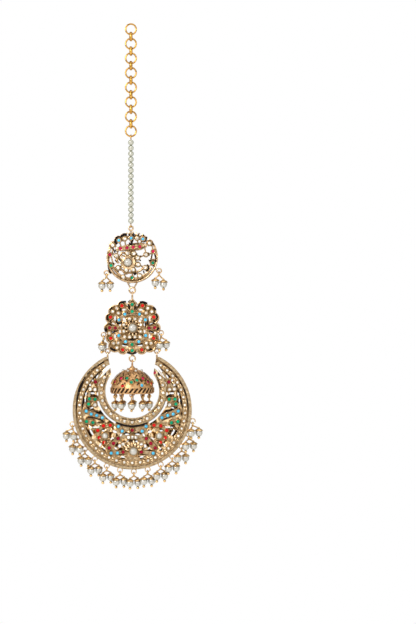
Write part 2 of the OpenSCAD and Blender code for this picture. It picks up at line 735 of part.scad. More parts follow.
module jhumki_dome() {
    color(rose) {
        difference() {
            union() {
                translate([0, pivot_y, dome_z])
                    rotate_extrude()
                        difference() {
                            intersection() {
                                union() {
                                    circle(r = dome_r, $fn = 64);
                                    square([dome_r - 0.15, 1.6]);
                                    translate([0, -1.3]) square([dome_r - 0.2, 1.4]);
                                }
                                translate([0, -1.4]) square([20, 20]);
                            }
                            intersection() {
                                circle(r = dome_r - 0.9, $fn = 64);
                                translate([0, -0.8]) square([20, 20]);
                            }
                            translate([0, -2]) square([dome_r - 2.1, 2.2]);
                        }
                dome_pockets(cut_r + 0.34, cabochon_r + 0.4, dome_r - 0.5, dome_r + 0.3);
            }
            dome_pockets(cut_r + seat_gap, cabochon_r + seat_gap, dome_r - 0.25, dome_r + 1);
        }
        translate([0, pivot_y, dome_z])
            for (a = [0:12:348])
                rotate([0, 0, a])
                    translate([dome_r - 0.05, 0, 0.1])
                        rotate([-38, 0, 0])
                            cylinder(r = 0.34, h = 2.3, center = true);
        translate([0, pivot_y, dome_z + dome_r - 0.35]) cylinder(r = 2.3, h = 0.6);
        translate([0, pivot_y, dome_z + dome_r + 0.1]) cylinder(r1 = 1.5, r2 = 0.6, h = 1.1);
        upright(0, dome_z + dome_r + 0.5, jhumki_pivot_z - 0.85, 0.42);
        edge_ring(0, jhumki_pivot_z - 0.15, 0.85, 0.27);
        for (k = [0:dome_drops - 1])
            dome_drop_at(k)
                rotate([90, 0, 90])
                    rotate_extrude() translate([0.72, 0]) circle(r = 0.22);
    }
}

// The place of one ring under the dome's foot, turned outwards
module dome_drop_at(k) {
    translate([0, pivot_y, dome_z - 1.95])
        rotate([0, 0, 18 + k * 360 / dome_drops])
            translate([dome_r - 1.55, 0, 0])
                children();
}

module jhumki_reds() {
    color(red) for (p = jhumki_red_at) on_dome(p) dome_stone();
}

// Cut stone standing in a pocket of the dome
module dome_stone() {
    translate([0, 0, dome_r - 0.2])
        rotate(22.5)
            cylinder(r1 = cut_r, r2 = cut_r * 0.6, h = 0.8, $fn = 8);
}

module jhumki_garnets() {
    color(garnet) all_round(jhumki_garnet_at) dome_stone();
}

module jhumki_emeralds() {
    color(emerald) all_round(jhumki_emerald_at) dome_stone();
}

module jhumki_turquoises() {
    color(turquoise)
        all_round(jhumki_turquoise_at)
            translate([0, 0, dome_r - 0.2])
                rotate_extrude()
                    intersection() {
                        translate([0, -0.2]) circle(r = 0.92);
                        square([cabochon_r, 1]);
                    }
}

module jhumki_links() {
    color(rose)
        for (k = [0:dome_drops - 1])
            dome_drop_at(k) {
                translate([0, 0, -0.8])
                    rotate([90, 0, 0])
                        rotate_extrude() translate([0.6, 0]) circle(r = 0.2);
                translate([0, 0, -dome_pearl_drop + 1.5]) cylinder(r = 0.2, h = 1.75);
                translate([0, 0, -dome_pearl_drop]) pearl_mount(dome_pearl_r);
            }
}

module jhumki_pearls() {
    color(ivory)
        for (k = [0:dome_drops - 1])
            dome_drop_at(k) translate([0, 0, -dome_pearl_drop]) drilled_pearl(dome_pearl_r);
}

hair_ring();
ear_chain();
string_wire();
string_pearls();
top_frame();
ear_post();
top_rubies();
top_emeralds();
top_turquoises();
top_pearl();
top_drop_links();
top_drop_pearls();
middle_frame();
middle_reds();
middle_garnets();
middle_emeralds();
middle_turquoises();
middle_pearl();
middle_drop_links();
middle_drop_pearls();
crescent_frame();
crescent_reds();
crescent_garnets();
crescent_emeralds();
crescent_turquoises();
crescent_whites();
lotus_pearl();
side_pearls();
fringe_links();
fringe_pearls();
jhumki_dome();
jhumki_reds();
jhumki_garnets();
jhumki_emeralds();
jhumki_turquoises();
jhumki_links();
jhumki_pearls();
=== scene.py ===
import math

import bmesh
import bpy
from mathutils import Matrix, Vector
from mathutils.bvhtree import BVHTree


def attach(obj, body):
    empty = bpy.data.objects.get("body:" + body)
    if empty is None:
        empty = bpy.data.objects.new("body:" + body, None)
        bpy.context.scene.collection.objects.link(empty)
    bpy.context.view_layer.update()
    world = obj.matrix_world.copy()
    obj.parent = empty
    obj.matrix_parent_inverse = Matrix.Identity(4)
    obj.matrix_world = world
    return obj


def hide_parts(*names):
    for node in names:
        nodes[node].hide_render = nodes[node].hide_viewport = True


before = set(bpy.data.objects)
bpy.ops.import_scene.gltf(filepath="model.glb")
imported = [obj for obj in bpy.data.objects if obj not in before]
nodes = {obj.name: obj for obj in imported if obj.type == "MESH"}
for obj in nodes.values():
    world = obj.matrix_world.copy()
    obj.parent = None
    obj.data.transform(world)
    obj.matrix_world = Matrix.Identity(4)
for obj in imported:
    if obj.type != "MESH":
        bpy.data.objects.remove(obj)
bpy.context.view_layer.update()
mm = 0.001
pivotY = -0.7
middleZ = -31.24
crescentZ = -67.25
openingZ = 8.2
domeZ = -58.55

# Camera at the photograph's viewing angle, 0.44 mm a pixel
cameraSet = {"x": 0.0333, "z": -0.0242, "distance": 0.763, "lens": 100, "near": 0.01, "far": 20}
cameraData = bpy.data.cameras.new("camera")
cameraData.lens = cameraSet["lens"]
cameraData.clip_start = cameraSet["near"]
cameraData.clip_end = cameraSet["far"]
camera = bpy.data.objects.new("camera", cameraData)
bpy.context.scene.collection.objects.link(camera)
camera.location = (cameraSet["x"], -cameraSet["distance"], cameraSet["z"])
camera.rotation_euler = (math.pi / 2, 0, 0)
bpy.context.scene.camera = camera
bpy.context.scene.view_settings.view_transform = "Standard"


# Node helpers
def setInputs(node, values):
    for key, value in values.items():
        node.inputs[key].default_value = value


def newNode(tree, kind, values=None, **settings):
    node = tree.nodes.new(kind)
    for key, value in settings.items():
        setattr(node, key, value)
    setInputs(node, values or {})
    return node


def setRamp(node, stops):
    elements = node.color_ramp.elements
    while len(elements) < len(stops):
        elements.new(0.5)
    for element, (position, color) in zip(elements, stops):
        element.position = position
        element.color = (*color, 1)


def newGroup(name, colors, values, results):
    tree = bpy.data.node_groups.new(name, "ShaderNodeTree")
    for side, labels in (("INPUT", colors + values), ("OUTPUT", ("Color", *results))):
        for label in labels:
            kind = "NodeSocketColor" if label in ("Color", *colors) else "NodeSocketFloat"
            tree.interface.new_socket(label, in_out=side, socket_type=kind)
    return tree, tree.nodes.new("NodeGroupInput"), tree.nodes.new("NodeGroupOutput")


# Worn metal: dark recesses and a darker tint round them, painted shade from ambient occlusion (the black
# partly the patina of the deepest hollows), mottled tint, fine hammered grain
metalColors = ("Metal", "Tint", "RecessPatinaAndShade")
metalValues = ("Reach", "ShadeDarkening", "Grain", "Rough")


def makeMetalGroup():
    tree, enter, leave = newGroup("wornMetalAndPaintedShade", metalColors, metalValues, ("Roughness", "Height"))
    link = tree.links.new
    place = newNode(tree, "ShaderNodeTexCoord")
    mottle = newNode(tree, "ShaderNodeTexNoise", {"Scale": 850.0, "Detail": 3.0, "Roughness": 0.55})
    grain = newNode(tree, "ShaderNodeTexNoise", {"Detail": 3.0, "Roughness": 0.65})
    dents = newNode(tree, "ShaderNodeTexVoronoi", feature="SMOOTH_F1")
    for node in (mottle, grain, dents):
        link(place.outputs["Object"], node.inputs["Vector"])
    for node in (grain, dents):
        link(enter.outputs["Grain"], node.inputs["Scale"])
    shade = newNode(tree, "ShaderNodeAmbientOcclusion", samples=8)
    link(enter.outputs["Reach"], shade.inputs["Distance"])
    # Painted shade from ambient occlusion: the recess itself, for the black (partly the patina of the
    # hollows), and its wider edge, for the tint
    depth, edgeShade = [newNode(tree, "ShaderNodeMapRange",
                           {"From Min": low, "From Max": high, "To Min": 1, "To Max": 0},
                           interpolation_type="SMOOTHSTEP") for low, high in ((0.26, 0.70), (0.58, 0.93))]
    for node in (depth, edgeShade):
        link(shade.outputs["AO"], node.inputs["Value"])
    # How strongly the painted shade darkens the recesses
    strength = newNode(tree, "ShaderNodeMath", operation="MULTIPLY", use_clamp=True)
    link(depth.outputs["Result"], strength.inputs[0])
    link(enter.outputs["ShadeDarkening"], strength.inputs[1])
    # The tint: mottled at random, and painted shade round the recesses
    tint = newNode(tree, "ShaderNodeMix", data_type="RGBA")
    band = newNode(tree, "ShaderNodeMapRange", {"From Min": 0.46, "From Max": 0.64, "To Max": 0.75})
    link(mottle.outputs["Fac"], band.inputs["Value"])
    either = newNode(tree, "ShaderNodeMath", operation="MAXIMUM")
    link(band.outputs["Result"], either.inputs[0])
    link(edgeShade.outputs["Result"], either.inputs[1])
    link(either.outputs[0], tint.inputs["Factor"])
    link(enter.outputs["Metal"], tint.inputs["A"])
    link(enter.outputs["Tint"], tint.inputs["B"])
    dark = newNode(tree, "ShaderNodeMix", data_type="RGBA")
    link(strength.outputs[0], dark.inputs["Factor"])
    link(tint.outputs["Result"], dark.inputs["A"])
    link(enter.outputs["RecessPatinaAndShade"], dark.inputs["B"])
    link(dark.outputs["Result"], leave.inputs["Color"])
    spread = newNode(tree, "ShaderNodeMath", {1: 0.22}, operation="MULTIPLY")
    link(grain.outputs["Fac"], spread.inputs[0])
    rough = newNode(tree, "ShaderNodeMath", operation="ADD")
    link(spread.outputs[0], rough.inputs[0])
    link(enter.outputs["Rough"], rough.inputs[1])
    matt = newNode(tree, "ShaderNodeMath", {1: 0.3}, operation="MULTIPLY")
    link(strength.outputs[0], matt.inputs[0])
    total = newNode(tree, "ShaderNodeMath", operation="ADD", use_clamp=True)
    link(rough.outputs[0], total.inputs[0])
    link(matt.outputs[0], total.inputs[1])
    link(total.outputs[0], leave.inputs["Roughness"])
    half = newNode(tree, "ShaderNodeMath", {1: 0.6}, operation="MULTIPLY")
    link(grain.outputs["Fac"], half.inputs[0])
    height = newNode(tree, "ShaderNodeMath", operation="ADD")
    link(dents.outputs["Distance"], height.inputs[0])
    link(half.outputs[0], height.inputs[1])
    link(height.outputs[0], leave.inputs["Height"])
    return tree


# Cut stone: lighter and darker facets, a painted sparkle, and a few inclusions
def makeStoneGroup():
    tree, enter, leave = newGroup("cutStoneSparkle", ("Deep", "Bright"), ("Scale",), ("Roughness",))
    link = tree.links.new
    place = newNode(tree, "ShaderNodeTexCoord")
    sparkleCells = newNode(tree, "ShaderNodeTexVoronoi")
    cloud = newNode(tree, "ShaderNodeTexNoise", {"Detail": 2.0})
    for node in (sparkleCells, cloud):
        link(place.outputs["Object"], node.inputs["Vector"])
        link(enter.outputs["Scale"], node.inputs["Scale"])
    split = newNode(tree, "ShaderNodeSeparateColor")
    link(sparkleCells.outputs["Color"], split.inputs["Color"])
    both = newNode(tree, "ShaderNodeMath", operation="MULTIPLY")
    link(split.outputs["Red"], both.inputs[0])
    link(cloud.outputs["Fac"], both.inputs[1])
    spread = newNode(tree, "ShaderNodeMapRange", {"From Min": 0.05, "From Max": 0.45})
    link(both.outputs[0], spread.inputs["Value"])
    # Painted sparkle: random cells of the stone shift towards the bright colour
    blend = newNode(tree, "ShaderNodeMix", data_type="RGBA")
    link(spread.outputs["Result"], blend.inputs["Factor"])
    link(enter.outputs["Deep"], blend.inputs["A"])
    link(enter.outputs["Bright"], blend.inputs["B"])
    link(blend.outputs["Result"], leave.inputs["Color"])
    rough = newNode(tree, "ShaderNodeMapRange", {"To Min": 0.05, "To Max": 0.22})
    link(cloud.outputs["Fac"], rough.inputs["Value"])
    link(rough.outputs["Result"], leave.inputs["Roughness"])
    return tree


metalGroup = makeMetalGroup()
stoneGroup = makeStoneGroup()


def startMaterial(name):
    material = bpy.data.materials.new(name)
    material.use_nodes = True
    tree = material.node_tree
    return material, tree, tree.nodes["Principled BSDF"]


def makeMetal(name, look):
    material, tree, surface = startMaterial(name)
    worn = newNode(tree, "ShaderNodeGroup", node_tree=metalGroup)
    setInputs(worn, {key: (*look[key], 1) for key in metalColors})
    setInputs(worn, {key: look[key] for key in metalValues})
    bump = newNode(tree, "ShaderNodeBump", {"Strength": look["bump"], "Distance": 0.0001})
    tree.links.new(worn.outputs["Color"], surface.inputs["Base Color"])
    tree.links.new(worn.outputs["Roughness"], surface.inputs["Roughness"])
    tree.links.new(worn.outputs["Height"], bump.inputs["Height"])
    tree.links.new(bump.outputs["Normal"], surface.inputs["Normal"])
    setInputs(surface, {"Metallic": look["metallic"], "Specular IOR Level": look["specular"]})
    return material


def makeStone(name, deep, sparkleColor, look):
    material, tree, surface = startMaterial(name)
    cut = newNode(tree, "ShaderNodeGroup", node_tree=stoneGroup)
    setInputs(cut, {"Scale": look["scale"], "Deep": (*deep, 1), "Bright": (*sparkleColor, 1)})
    # The stones glow faintly in their own colour: painted light
    for out, socket in (("Color", "Base Color"), ("Roughness", "Roughness"), ("Color", "Emission Color")):
        tree.links.new(cut.outputs[out], surface.inputs[socket])
    setInputs(surface, {"Emission Strength": look["glow"], "Coat Weight": look["coat"], "IOR": look["ior"],
                        "Specular IOR Level": look["specular"], "Coat Roughness": look["coatRough"]})
    return material


# Pearl: ivory face, grey-green edge and dark rim painted as shade by viewing angle, faint layering
pearlLook = {"cloud": 650.0, "tint": 0.35, "rough": 0.20, "coat": 0.9, "coatRough": 0.06, "coatIor": 2.0,
             "soft": 0.15}


def makePearl(name, face, edge, shadow):
    material, tree, surface = startMaterial(name)
    link = tree.links.new
    place = newNode(tree, "ShaderNodeTexCoord")
    cloud = newNode(tree, "ShaderNodeTexNoise", {"Scale": pearlLook["cloud"], "Detail": 3.0})
    link(place.outputs["Object"], cloud.inputs["Vector"])
    # Painted shade: the colour darkens from the face to the rim as the surface turns from the camera
    layer = newNode(tree, "ShaderNodeLayerWeight", {"Blend": 0.35})
    ramp = newNode(tree, "ShaderNodeValToRGB")
    setRamp(ramp, [(0.05, face), (0.42, edge), (0.95, shadow)])
    link(layer.outputs["Facing"], ramp.inputs["Fac"])
    tint = newNode(tree, "ShaderNodeMix", {"Factor": pearlLook["tint"]}, data_type="RGBA",
                   blend_type="MULTIPLY")
    pale = newNode(tree, "ShaderNodeValToRGB")
    setRamp(pale, [(0, (1.0, 0.88, 0.86)), (1, (0.86, 1.0, 0.95))])
    link(cloud.outputs["Fac"], pale.inputs["Fac"])
    link(ramp.outputs["Color"], tint.inputs["A"])
    link(pale.outputs["Color"], tint.inputs["B"])
    link(tint.outputs["Result"], surface.inputs["Base Color"])
    setInputs(surface, {"Roughness": pearlLook["rough"], "Subsurface Weight": pearlLook["soft"],
                        "Subsurface Radius": (0.0006, 0.0005, 0.0004), "Coat Weight": pearlLook["coat"],
                        "Coat Roughness": pearlLook["coatRough"], "Coat IOR": pearlLook["coatIor"]})
    return material


# The reach and darkening set how far and how darkly the painted shade fills the recesses; the recess colour
# stands for painted shade and the patina of the hollows
metalBase = {"Reach": 0.0010, "ShadeDarkening": 1.0, "Grain": 900.0, "Rough": 0.10, "bump": 0.9, "metallic": 1.0,
             "specular": 0.5}
metals = {
    "rose_gold": {"Metal": (0.785, 0.585, 0.35), "Tint": (0.41, 0.23, 0.082), "RecessPatinaAndShade": (0.04, 0.014, 0.006)},
    "medallion_gold": {"Metal": (0.70, 0.50, 0.295), "Tint": (0.31, 0.157, 0.05),
                       "RecessPatinaAndShade": (0.018, 0.007, 0.004), "Reach": 0.0021},
    "dome_gold": {"Metal": (0.60, 0.37, 0.18), "Tint": (0.27, 0.12, 0.035), "RecessPatinaAndShade": (0.04, 0.013, 0.005),
                  "Reach": 0.0012, "Grain": 800.0, "Rough": 0.36, "bump": 1.0},
    "plain_gold": {"Metal": (0.69, 0.47, 0.215), "Tint": (0.35, 0.185, 0.05), "RecessPatinaAndShade": (0.09, 0.028, 0.008),
                   "ShadeDarkening": 0.9, "Rough": 0.14, "bump": 0.3},
    "yellow_gold": {"Metal": (0.62, 0.34, 0.07), "Tint": (0.26, 0.11, 0.012), "RecessPatinaAndShade": (0.12, 0.035, 0.004),
                    "Reach": 0.0011, "Rough": 0.12, "bump": 0.35},
    "patina": {"Metal": (0.006, 0.004, 0.004), "Tint": (0.014, 0.008, 0.006),
               "RecessPatinaAndShade": (0.002, 0.0015, 0.0015), "Reach": 0.0006, "ShadeDarkening": 0.8, "Grain": 1300.0,
               "Rough": 0.62, "bump": 0.4, "metallic": 0.0, "specular": 0.08},
    # Dark brown for the outlines behind the top medallion's wires: painted shadow
    "painted_wire_shadow": {"Metal": (0.34, 0.16, 0.06), "Tint": (0.16, 0.06, 0.02), "RecessPatinaAndShade": (0.03, 0.010, 0.004),
               "ShadeDarkening": 0.9, "Grain": 1100.0, "Rough": 0.25, "bump": 0.5},
}
paint = {name: makeMetal(name, {**metalBase, **look}) for name, look in metals.items()}
# glow: strength of the stones' painted light
stoneLook = {"scale": 1700.0, "glow": 0.14, "coat": 0.15, "coatRough": 0.03, "specular": 0.3, "ior": 1.5}
# Each stone's deep colour and the bright colour of its painted sparkle
stones = {
    "ruby": ((0.24, 0.001, 0.03), (0.50, 0.004, 0.062)),
    "red": ((0.34, 0.001, 0.001), (0.66, 0.004, 0.004)),
    "garnet": ((0.12, 0.0, 0.008), (0.32, 0.001, 0.027)),
    "emerald": ((0.0, 0.12, 0.055), (0.0, 0.33, 0.155)),
    "turquoise": ((0.04, 0.29, 0.48), (0.08, 0.49, 0.72)),
    "white_stone": ((0.36, 0.33, 0.285), (0.82, 0.80, 0.74)),
}
for name, (deep, sparkleColor) in stones.items():
    paint[name] = makeStone(name, deep, sparkleColor, stoneLook)
# Face, edge and rim colours of each pearl; the edge and rim are painted shade
paint["pearl"] = makePearl("pearl", (0.41, 0.385, 0.34), (0.29, 0.265, 0.20), (0.09, 0.07, 0.035))
paint["string_pearl"] = makePearl("string_pearl", (0.40, 0.385, 0.315), (0.25, 0.26, 0.165),
                                  (0.09, 0.10, 0.045))
print("materials made")


# Modelling helpers
def clearSelection():
    if bpy.context.object and bpy.context.object.mode != "OBJECT":
        bpy.ops.object.mode_set(mode="OBJECT")
    bpy.ops.object.select_all(action="DESELECT")


def pick(obj):
    clearSelection()
    obj.select_set(True)
    bpy.context.view_layer.objects.active = obj


def startEdit():
    bpy.ops.object.mode_set(mode="EDIT")
    bpy.ops.mesh.select_all(action="SELECT")


def editNew(name):
    obj = bpy.context.object
    obj.name = name
    startEdit()
    return obj


def faceOut():
    bpy.ops.mesh.select_all(action="SELECT")
    bpy.ops.mesh.normals_make_consistent(inside=False)


def smoothEdges(obj, degrees):
    pick(obj)
    bpy.ops.object.shade_smooth_by_angle(angle=math.radians(degrees))


def endEdit(obj, degrees=None):
    bpy.ops.object.mode_set(mode="OBJECT")
    if degrees:
        smoothEdges(obj, degrees)
    return obj


def applyModifier(obj, kind, **settings):
    modifier = obj.modifiers.new("work", kind)
    for key, value in settings.items():
        setattr(modifier, key, value)
    pick(obj)
    bpy.ops.object.modifier_apply(modifier=modifier.name)


def finishPiece(obj, slot, body, replaced=()):
    obj.data.materials.clear()
    obj.data.materials.append(paint[slot])
    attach(obj, body)
    if replaced:
        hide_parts(*replaced)
    return obj


def placeCopies(name, template, places, slot, body, replaced=()):
    work = bmesh.new()
    for place in places:
        first = len(work.verts)
        work.from_mesh(template.data)
        work.verts.ensure_lookup_table()
        bmesh.ops.transform(work, matrix=place, verts=work.verts[first:])
    mesh = bpy.data.meshes.new(name)
    work.to_mesh(mesh)
    work.free()
    obj = bpy.data.objects.new(name, mesh)
    bpy.context.scene.collection.objects.link(obj)
    return finishPiece(obj, slot, body, replaced)


def facing(x, y, z, size, turn=0.0, height=None):
    scale = Matrix.Diagonal((size * mm, size * mm, (height or size) * mm, 1))
    return (Matrix.Translation((x * mm, y * mm, z * mm)) @ Matrix.Rotation(math.pi / 2, 4, "X")
            @ Matrix.Rotation(turn, 4, "Z") @ scale)


def around(cx, cz, radius, turn):
    return [cx + radius * math.sin(math.radians(turn)), cz + radius * math.cos(math.radians(turn))]


def outward(azimuth, elevation):
    a, e = math.radians(azimuth), math.radians(elevation)
    return Vector((math.cos(e) * math.sin(a), -math.cos(e) * math.cos(a), math.sin(e)))


def onDome(azimuth, elevation, radius, size):
    out = outward(azimuth, elevation)
    centre = Vector((0, pivotY, domeZ)) + out * radius
    turn = out.to_track_quat("Z", "Y").to_matrix().to_4x4()
    return Matrix.Translation(centre * mm) @ turn @ Matrix.Scale(size * mm, 4)


def islands(node):
    mesh = bmesh.new()
    mesh.from_mesh(nodes[node].data)
    bmesh.ops.remove_doubles(mesh, verts=mesh.verts, dist=1e-6)
    seen, found = set(), []
    for vert in mesh.verts:
        if vert in seen:
            continue
        seen.add(vert)
        stack, low, high = [vert], Vector((9, 9, 9)), Vector((-9, -9, -9))
        while stack:
            here = stack.pop()
            low = Vector(map(min, low, here.co))
            high = Vector(map(max, high, here.co))
            for edge in here.link_edges:
                other = edge.other_vert(here)
                if other not in seen:
                    seen.add(other)
                    stack.append(other)
        found.append(((low + high) / 2 / mm, (high - low) / mm))
    mesh.free()
    return found


def surfaceOf(node):
    mesh = nodes[node].data
    corners = [vert.co for vert in mesh.vertices]
    return BVHTree.FromPolygons(corners, [list(face.vertices) for face in mesh.polygons])


# Frames and wires: cleaned copies of the CAD shapes with softened edges
def dressNode(node, body, slot, bevel=0.0, grow=0.0, angle=32):
    obj = bpy.data.objects.new("skin_" + node, nodes[node].data.copy())
    bpy.context.scene.collection.objects.link(obj)
    pick(obj)
    startEdit()
    bpy.ops.mesh.remove_doubles(threshold=2e-6)
    endEdit(obj)
    if bevel:
        applyModifier(obj, "BEVEL", width=bevel * mm, segments=2, limit_method="ANGLE",
                      angle_limit=math.radians(40), use_clamp_overlap=True)
    if grow:
        applyModifier(obj, "DISPLACE", strength=grow * mm, mid_level=0.0)
    smoothEdges(obj, angle)
    return finishPiece(obj, slot, body, (node,))


dressed = {
    "hair_ring": ("top", "yellow_gold", 0.0, 0.0), "ear_chain": ("top", "yellow_gold", 0.0, 0.0),
    "string_wire": ("top", "yellow_gold", 0.0, 0.0), "ear_post": ("top", "plain_gold", 0.0, 0.0),
    "top_frame": ("top", "medallion_gold", 0.07, 0.05),
    "middle_frame": ("middle", "medallion_gold", 0.07, 0.0),
    "crescent_frame": ("crescent", "rose_gold", 0.08, 0.0), "jhumki_dome": ("jhumki", "dome_gold", 0.06, 0.0),
    "top_drop_links": ("top", "plain_gold", 0.0, 0.15),
    "middle_drop_links": ("middle", "plain_gold", 0.0, 0.15),
    "fringe_links": ("crescent", "plain_gold", 0.0, 0.15),
    "jhumki_links": ("jhumki", "plain_gold", 0.0, 0.08),
}
for node, (body, slot, bevel, grow) in dressed.items():
    dressNode(node, body, slot, bevel, grow)
print("frames dressed")


# Cut stone, radius 1, table towards +Z; each ring is lift, scale, turn
gemCut = {"sides": 10, "rings": [(0.16, 1.0, 0.0), (0.20, 0.80, 18.0), (0.16, 0.72, 18.0)]}
seedCut = {"sides": 8, "rings": [(0.2, 0.92, 22.5), (0.3, 0.55, 22.5)]}


def makeGem(name, cut):
    clearSelection()
    bpy.ops.mesh.primitive_circle_add(vertices=cut["sides"], radius=1, fill_type="NGON")
    gem = editNew(name)
    for lift, scale, turn in cut["rings"]:
        bpy.ops.mesh.extrude_region_move(TRANSFORM_OT_translate={"value": (0, 0, lift)})
        bpy.ops.transform.resize(value=(scale, scale, 1), center_override=(0, 0, 0))
        if turn:
            bpy.ops.transform.rotate(value=math.radians(turn), orient_axis="Z", center_override=(0, 0, 0))
    bpy.ops.mesh.select_all(action="SELECT")
    bpy.ops.mesh.quads_convert_to_tris()
    faceOut()
    return endEdit(gem)


# Cabochon, radius 1, a domed top on a short skirt
cabochonShape = {"dome": 0.62, "skirt": 0.3}


def makeCabochon(name):
    clearSelection()
    bpy.ops.mesh.primitive_uv_sphere_add(segments=16, ring_count=10, radius=1)
    stone = editNew(name)
    bpy.ops.mesh.bisect(plane_co=(0, 0, 0.02), plane_no=(0, 0, 1), clear_inner=True, use_fill=True)
    bpy.ops.mesh.select_all(action="SELECT")
    bpy.ops.transform.resize(value=(1, 1, cabochonShape["dome"]), center_override=(0, 0, 0))
    bpy.ops.mesh.select_all(action="DESELECT")
    work = bmesh.from_edit_mesh(stone.data)
    work.faces.ensure_lookup_table()
    for face in work.faces:
        face.select = face.normal.z < -0.9
    bmesh.update_edit_mesh(stone.data)
    bpy.ops.mesh.extrude_region_move(TRANSFORM_OT_translate={"value": (0, 0, -cabochonShape["skirt"])})
    faceOut()
    return endEdit(stone, 50)


# Collet: a ring of inner radius 1, spun from a small profile that narrows upwards
ringShape = {"shoulder": 0.6, "taper": 0.55}


def makeRing(name, wall, height, steps=18):
    clearSelection()
    bpy.ops.mesh.primitive_plane_add(size=1)
    ring = editNew(name)
    bpy.ops.transform.rotate(value=-math.pi / 2, orient_axis="X", center_override=(0, 0, 0))
    bpy.ops.transform.resize(value=(wall, 1, height), center_override=(0, 0, 0))
    bpy.ops.transform.translate(value=(1 + wall / 2, 0, height / 2))
    work = bmesh.from_edit_mesh(ring.data)
    for vert in work.verts:
        if vert.co.z > height * ringShape["shoulder"]:
            vert.co.x = 1 + wall / 2 + (vert.co.x - 1 - wall / 2) * ringShape["taper"]
    for edge in work.edges:
        edge.select = False
    work.select_flush(False)
    for face in work.faces:
        face.select_set(True)
    bmesh.update_edit_mesh(ring.data)
    bpy.ops.mesh.spin(steps=steps, angle=2 * math.pi, center=(0, 0, 0), axis=(0, 0, 1))
    bpy.ops.mesh.select_all(action="SELECT")
    bpy.ops.mesh.remove_doubles(threshold=0.001)
    work = bmesh.from_edit_mesh(ring.data)
    inner = []  # the starting face, left inside the ring
    for face in work.faces:
        middle = face.calc_center_median()
        outwards = Vector((middle.x, middle.y, 0)).normalized()
        if abs(face.normal.z) < 0.1 and abs(face.normal.dot(outwards)) < 0.3:
            inner.append(face)
    bmesh.ops.delete(work, geom=inner, context="FACES_ONLY")
    bmesh.update_edit_mesh(ring.data)
    faceOut()
    return endEdit(ring, 50)


# Pearl, radius 1, with its drill holes at the poles
def makePearlShape(name, segments, rings):
    clearSelection()
    bpy.ops.mesh.primitive_uv_sphere_add(segments=segments, ring_count=rings, radius=1)
    pearl = editNew(name)
    work = bmesh.from_edit_mesh(pearl.data)
    for vert in work.verts:
        if abs(vert.co.z) > 0.999:
            vert.co.z *= 0.8
    bmesh.update_edit_mesh(pearl.data)
    return endEdit(pearl, 60)


# Scalloped cap over a pearl of radius 1
capShape = {"petals": 6, "radius": 1.17, "edge": 0.42, "swell": 0.05, "scallop": 0.34, "wall": 0.07}


def makeCap(name):
    clearSelection()
    bpy.ops.mesh.primitive_uv_sphere_add(segments=capShape["petals"] * 4, ring_count=16,
                                         radius=capShape["radius"])
    cap = editNew(name)
    bpy.ops.mesh.bisect(plane_co=(0, 0, capShape["edge"]), plane_no=(0, 0, 1), clear_inner=True)
    work = bmesh.from_edit_mesh(cap.data)
    for vert in work.verts:
        wave = math.cos(math.atan2(vert.co.y, vert.co.x) * capShape["petals"])
        low = max(0.0, 1 - vert.co.z)
        swell = 1 + capShape["swell"] * wave * low
        vert.co.x *= swell
        vert.co.y *= swell
        vert.co.z += capShape["scallop"] * (0.5 - 0.5 * wave) * low
    bmesh.update_edit_mesh(cap.data)
    endEdit(cap)
    applyModifier(cap, "SOLIDIFY", thickness=capShape["wall"], offset=1)
    smoothEdges(cap, 40)
    return cap


# Raised leaf, half length 1 along y, pointed at both ends
leafShape = {"width": 0.52, "pinch": 0.45, "height": 0.5, "skirt": 0.25}


def makeLeaf(name):
    clearSelection()
    bpy.ops.mesh.primitive_uv_sphere_add(segments=10, ring_count=6, radius=1)
    leaf = editNew(name)
    bpy.ops.mesh.bisect(plane_co=(0, 0, 0.02), plane_no=(0, 0, 1), clear_inner=True, use_fill=True)
    work = bmesh.from_edit_mesh(leaf.data)
    for vert in work.verts:
        vert.co.x *= leafShape["width"] * (1 - leafShape["pinch"] * vert.co.y ** 2)
        vert.co.z = vert.co.z * leafShape["height"] - leafShape["skirt"] * (vert.co.z < 0.1)
    bmesh.update_edit_mesh(leaf.data)
    faceOut()
    return endEdit(leaf, 40)


# Small link, a ring seen edge-on, radius 1
linkShape = {"wire": 0.34, "widen": 1.25}


def makeSmallLink(name):
    clearSelection()
    bpy.ops.mesh.primitive_torus_add(major_segments=20, minor_segments=8, major_radius=1,
                                     minor_radius=linkShape["wire"])
    ring = editNew(name)
    bpy.ops.transform.rotate(value=math.pi / 2, orient_axis="Y", center_override=(0, 0, 0))
    bpy.ops.transform.resize(value=(linkShape["widen"], 1, 1), center_override=(0, 0, 0))
    return endEdit(ring, 60)


gem = makeGem("gemTemplate", gemCut)
leaf = makeLeaf("leafTemplate")
smallLink = makeSmallLink("smallLinkTemplate")
seed = makeGem("seedTemplate", seedCut)
cabochon = makeCabochon("cabochonTemplate")
collet = makeRing("colletTemplate", 0.36, 0.62)
thinCollet = makeRing("thinColletTemplate", 0.42, 0.7, steps=14)
pearlShape = makePearlShape("pearlTemplate", 28, 18)
smallPearl = makePearlShape("smallPearlTemplate", 20, 14)
cap = makeCap("capTemplate")
print("templates made")

# Stones, each in its collet; white seeds that the CAD leaves to this script
cutNodes = {
    "top_rubies": "ruby", "top_emeralds": "emerald", "middle_reds": "red", "middle_garnets": "garnet",
    "middle_emeralds": "emerald", "crescent_reds": "red", "crescent_garnets": "garnet",
    "crescent_emeralds": "emerald", "crescent_whites": "white_stone",
}
roundNodes = ["top_turquoises", "middle_turquoises", "crescent_turquoises"]
stoneSet = {"collet": -1.22, "colletWidth": 0.97, "colletHeight": 0.5, "cut": -0.95, "round": -1.05,
            "tall": 1.1, "seed": -1.0, "seedCollet": -0.8}
stoneGrow = {"cut": 1.28, "white": 1.78, "round": 1.14}
colletPlaces = {"top": [], "middle": [], "crescent": []}


def addCollet(body, centre, radius):
    width, height = radius * stoneSet["colletWidth"], stoneSet["colletHeight"]
    colletPlaces[body].append(facing(centre.x, stoneSet["collet"], centre.z, width, 0, height))


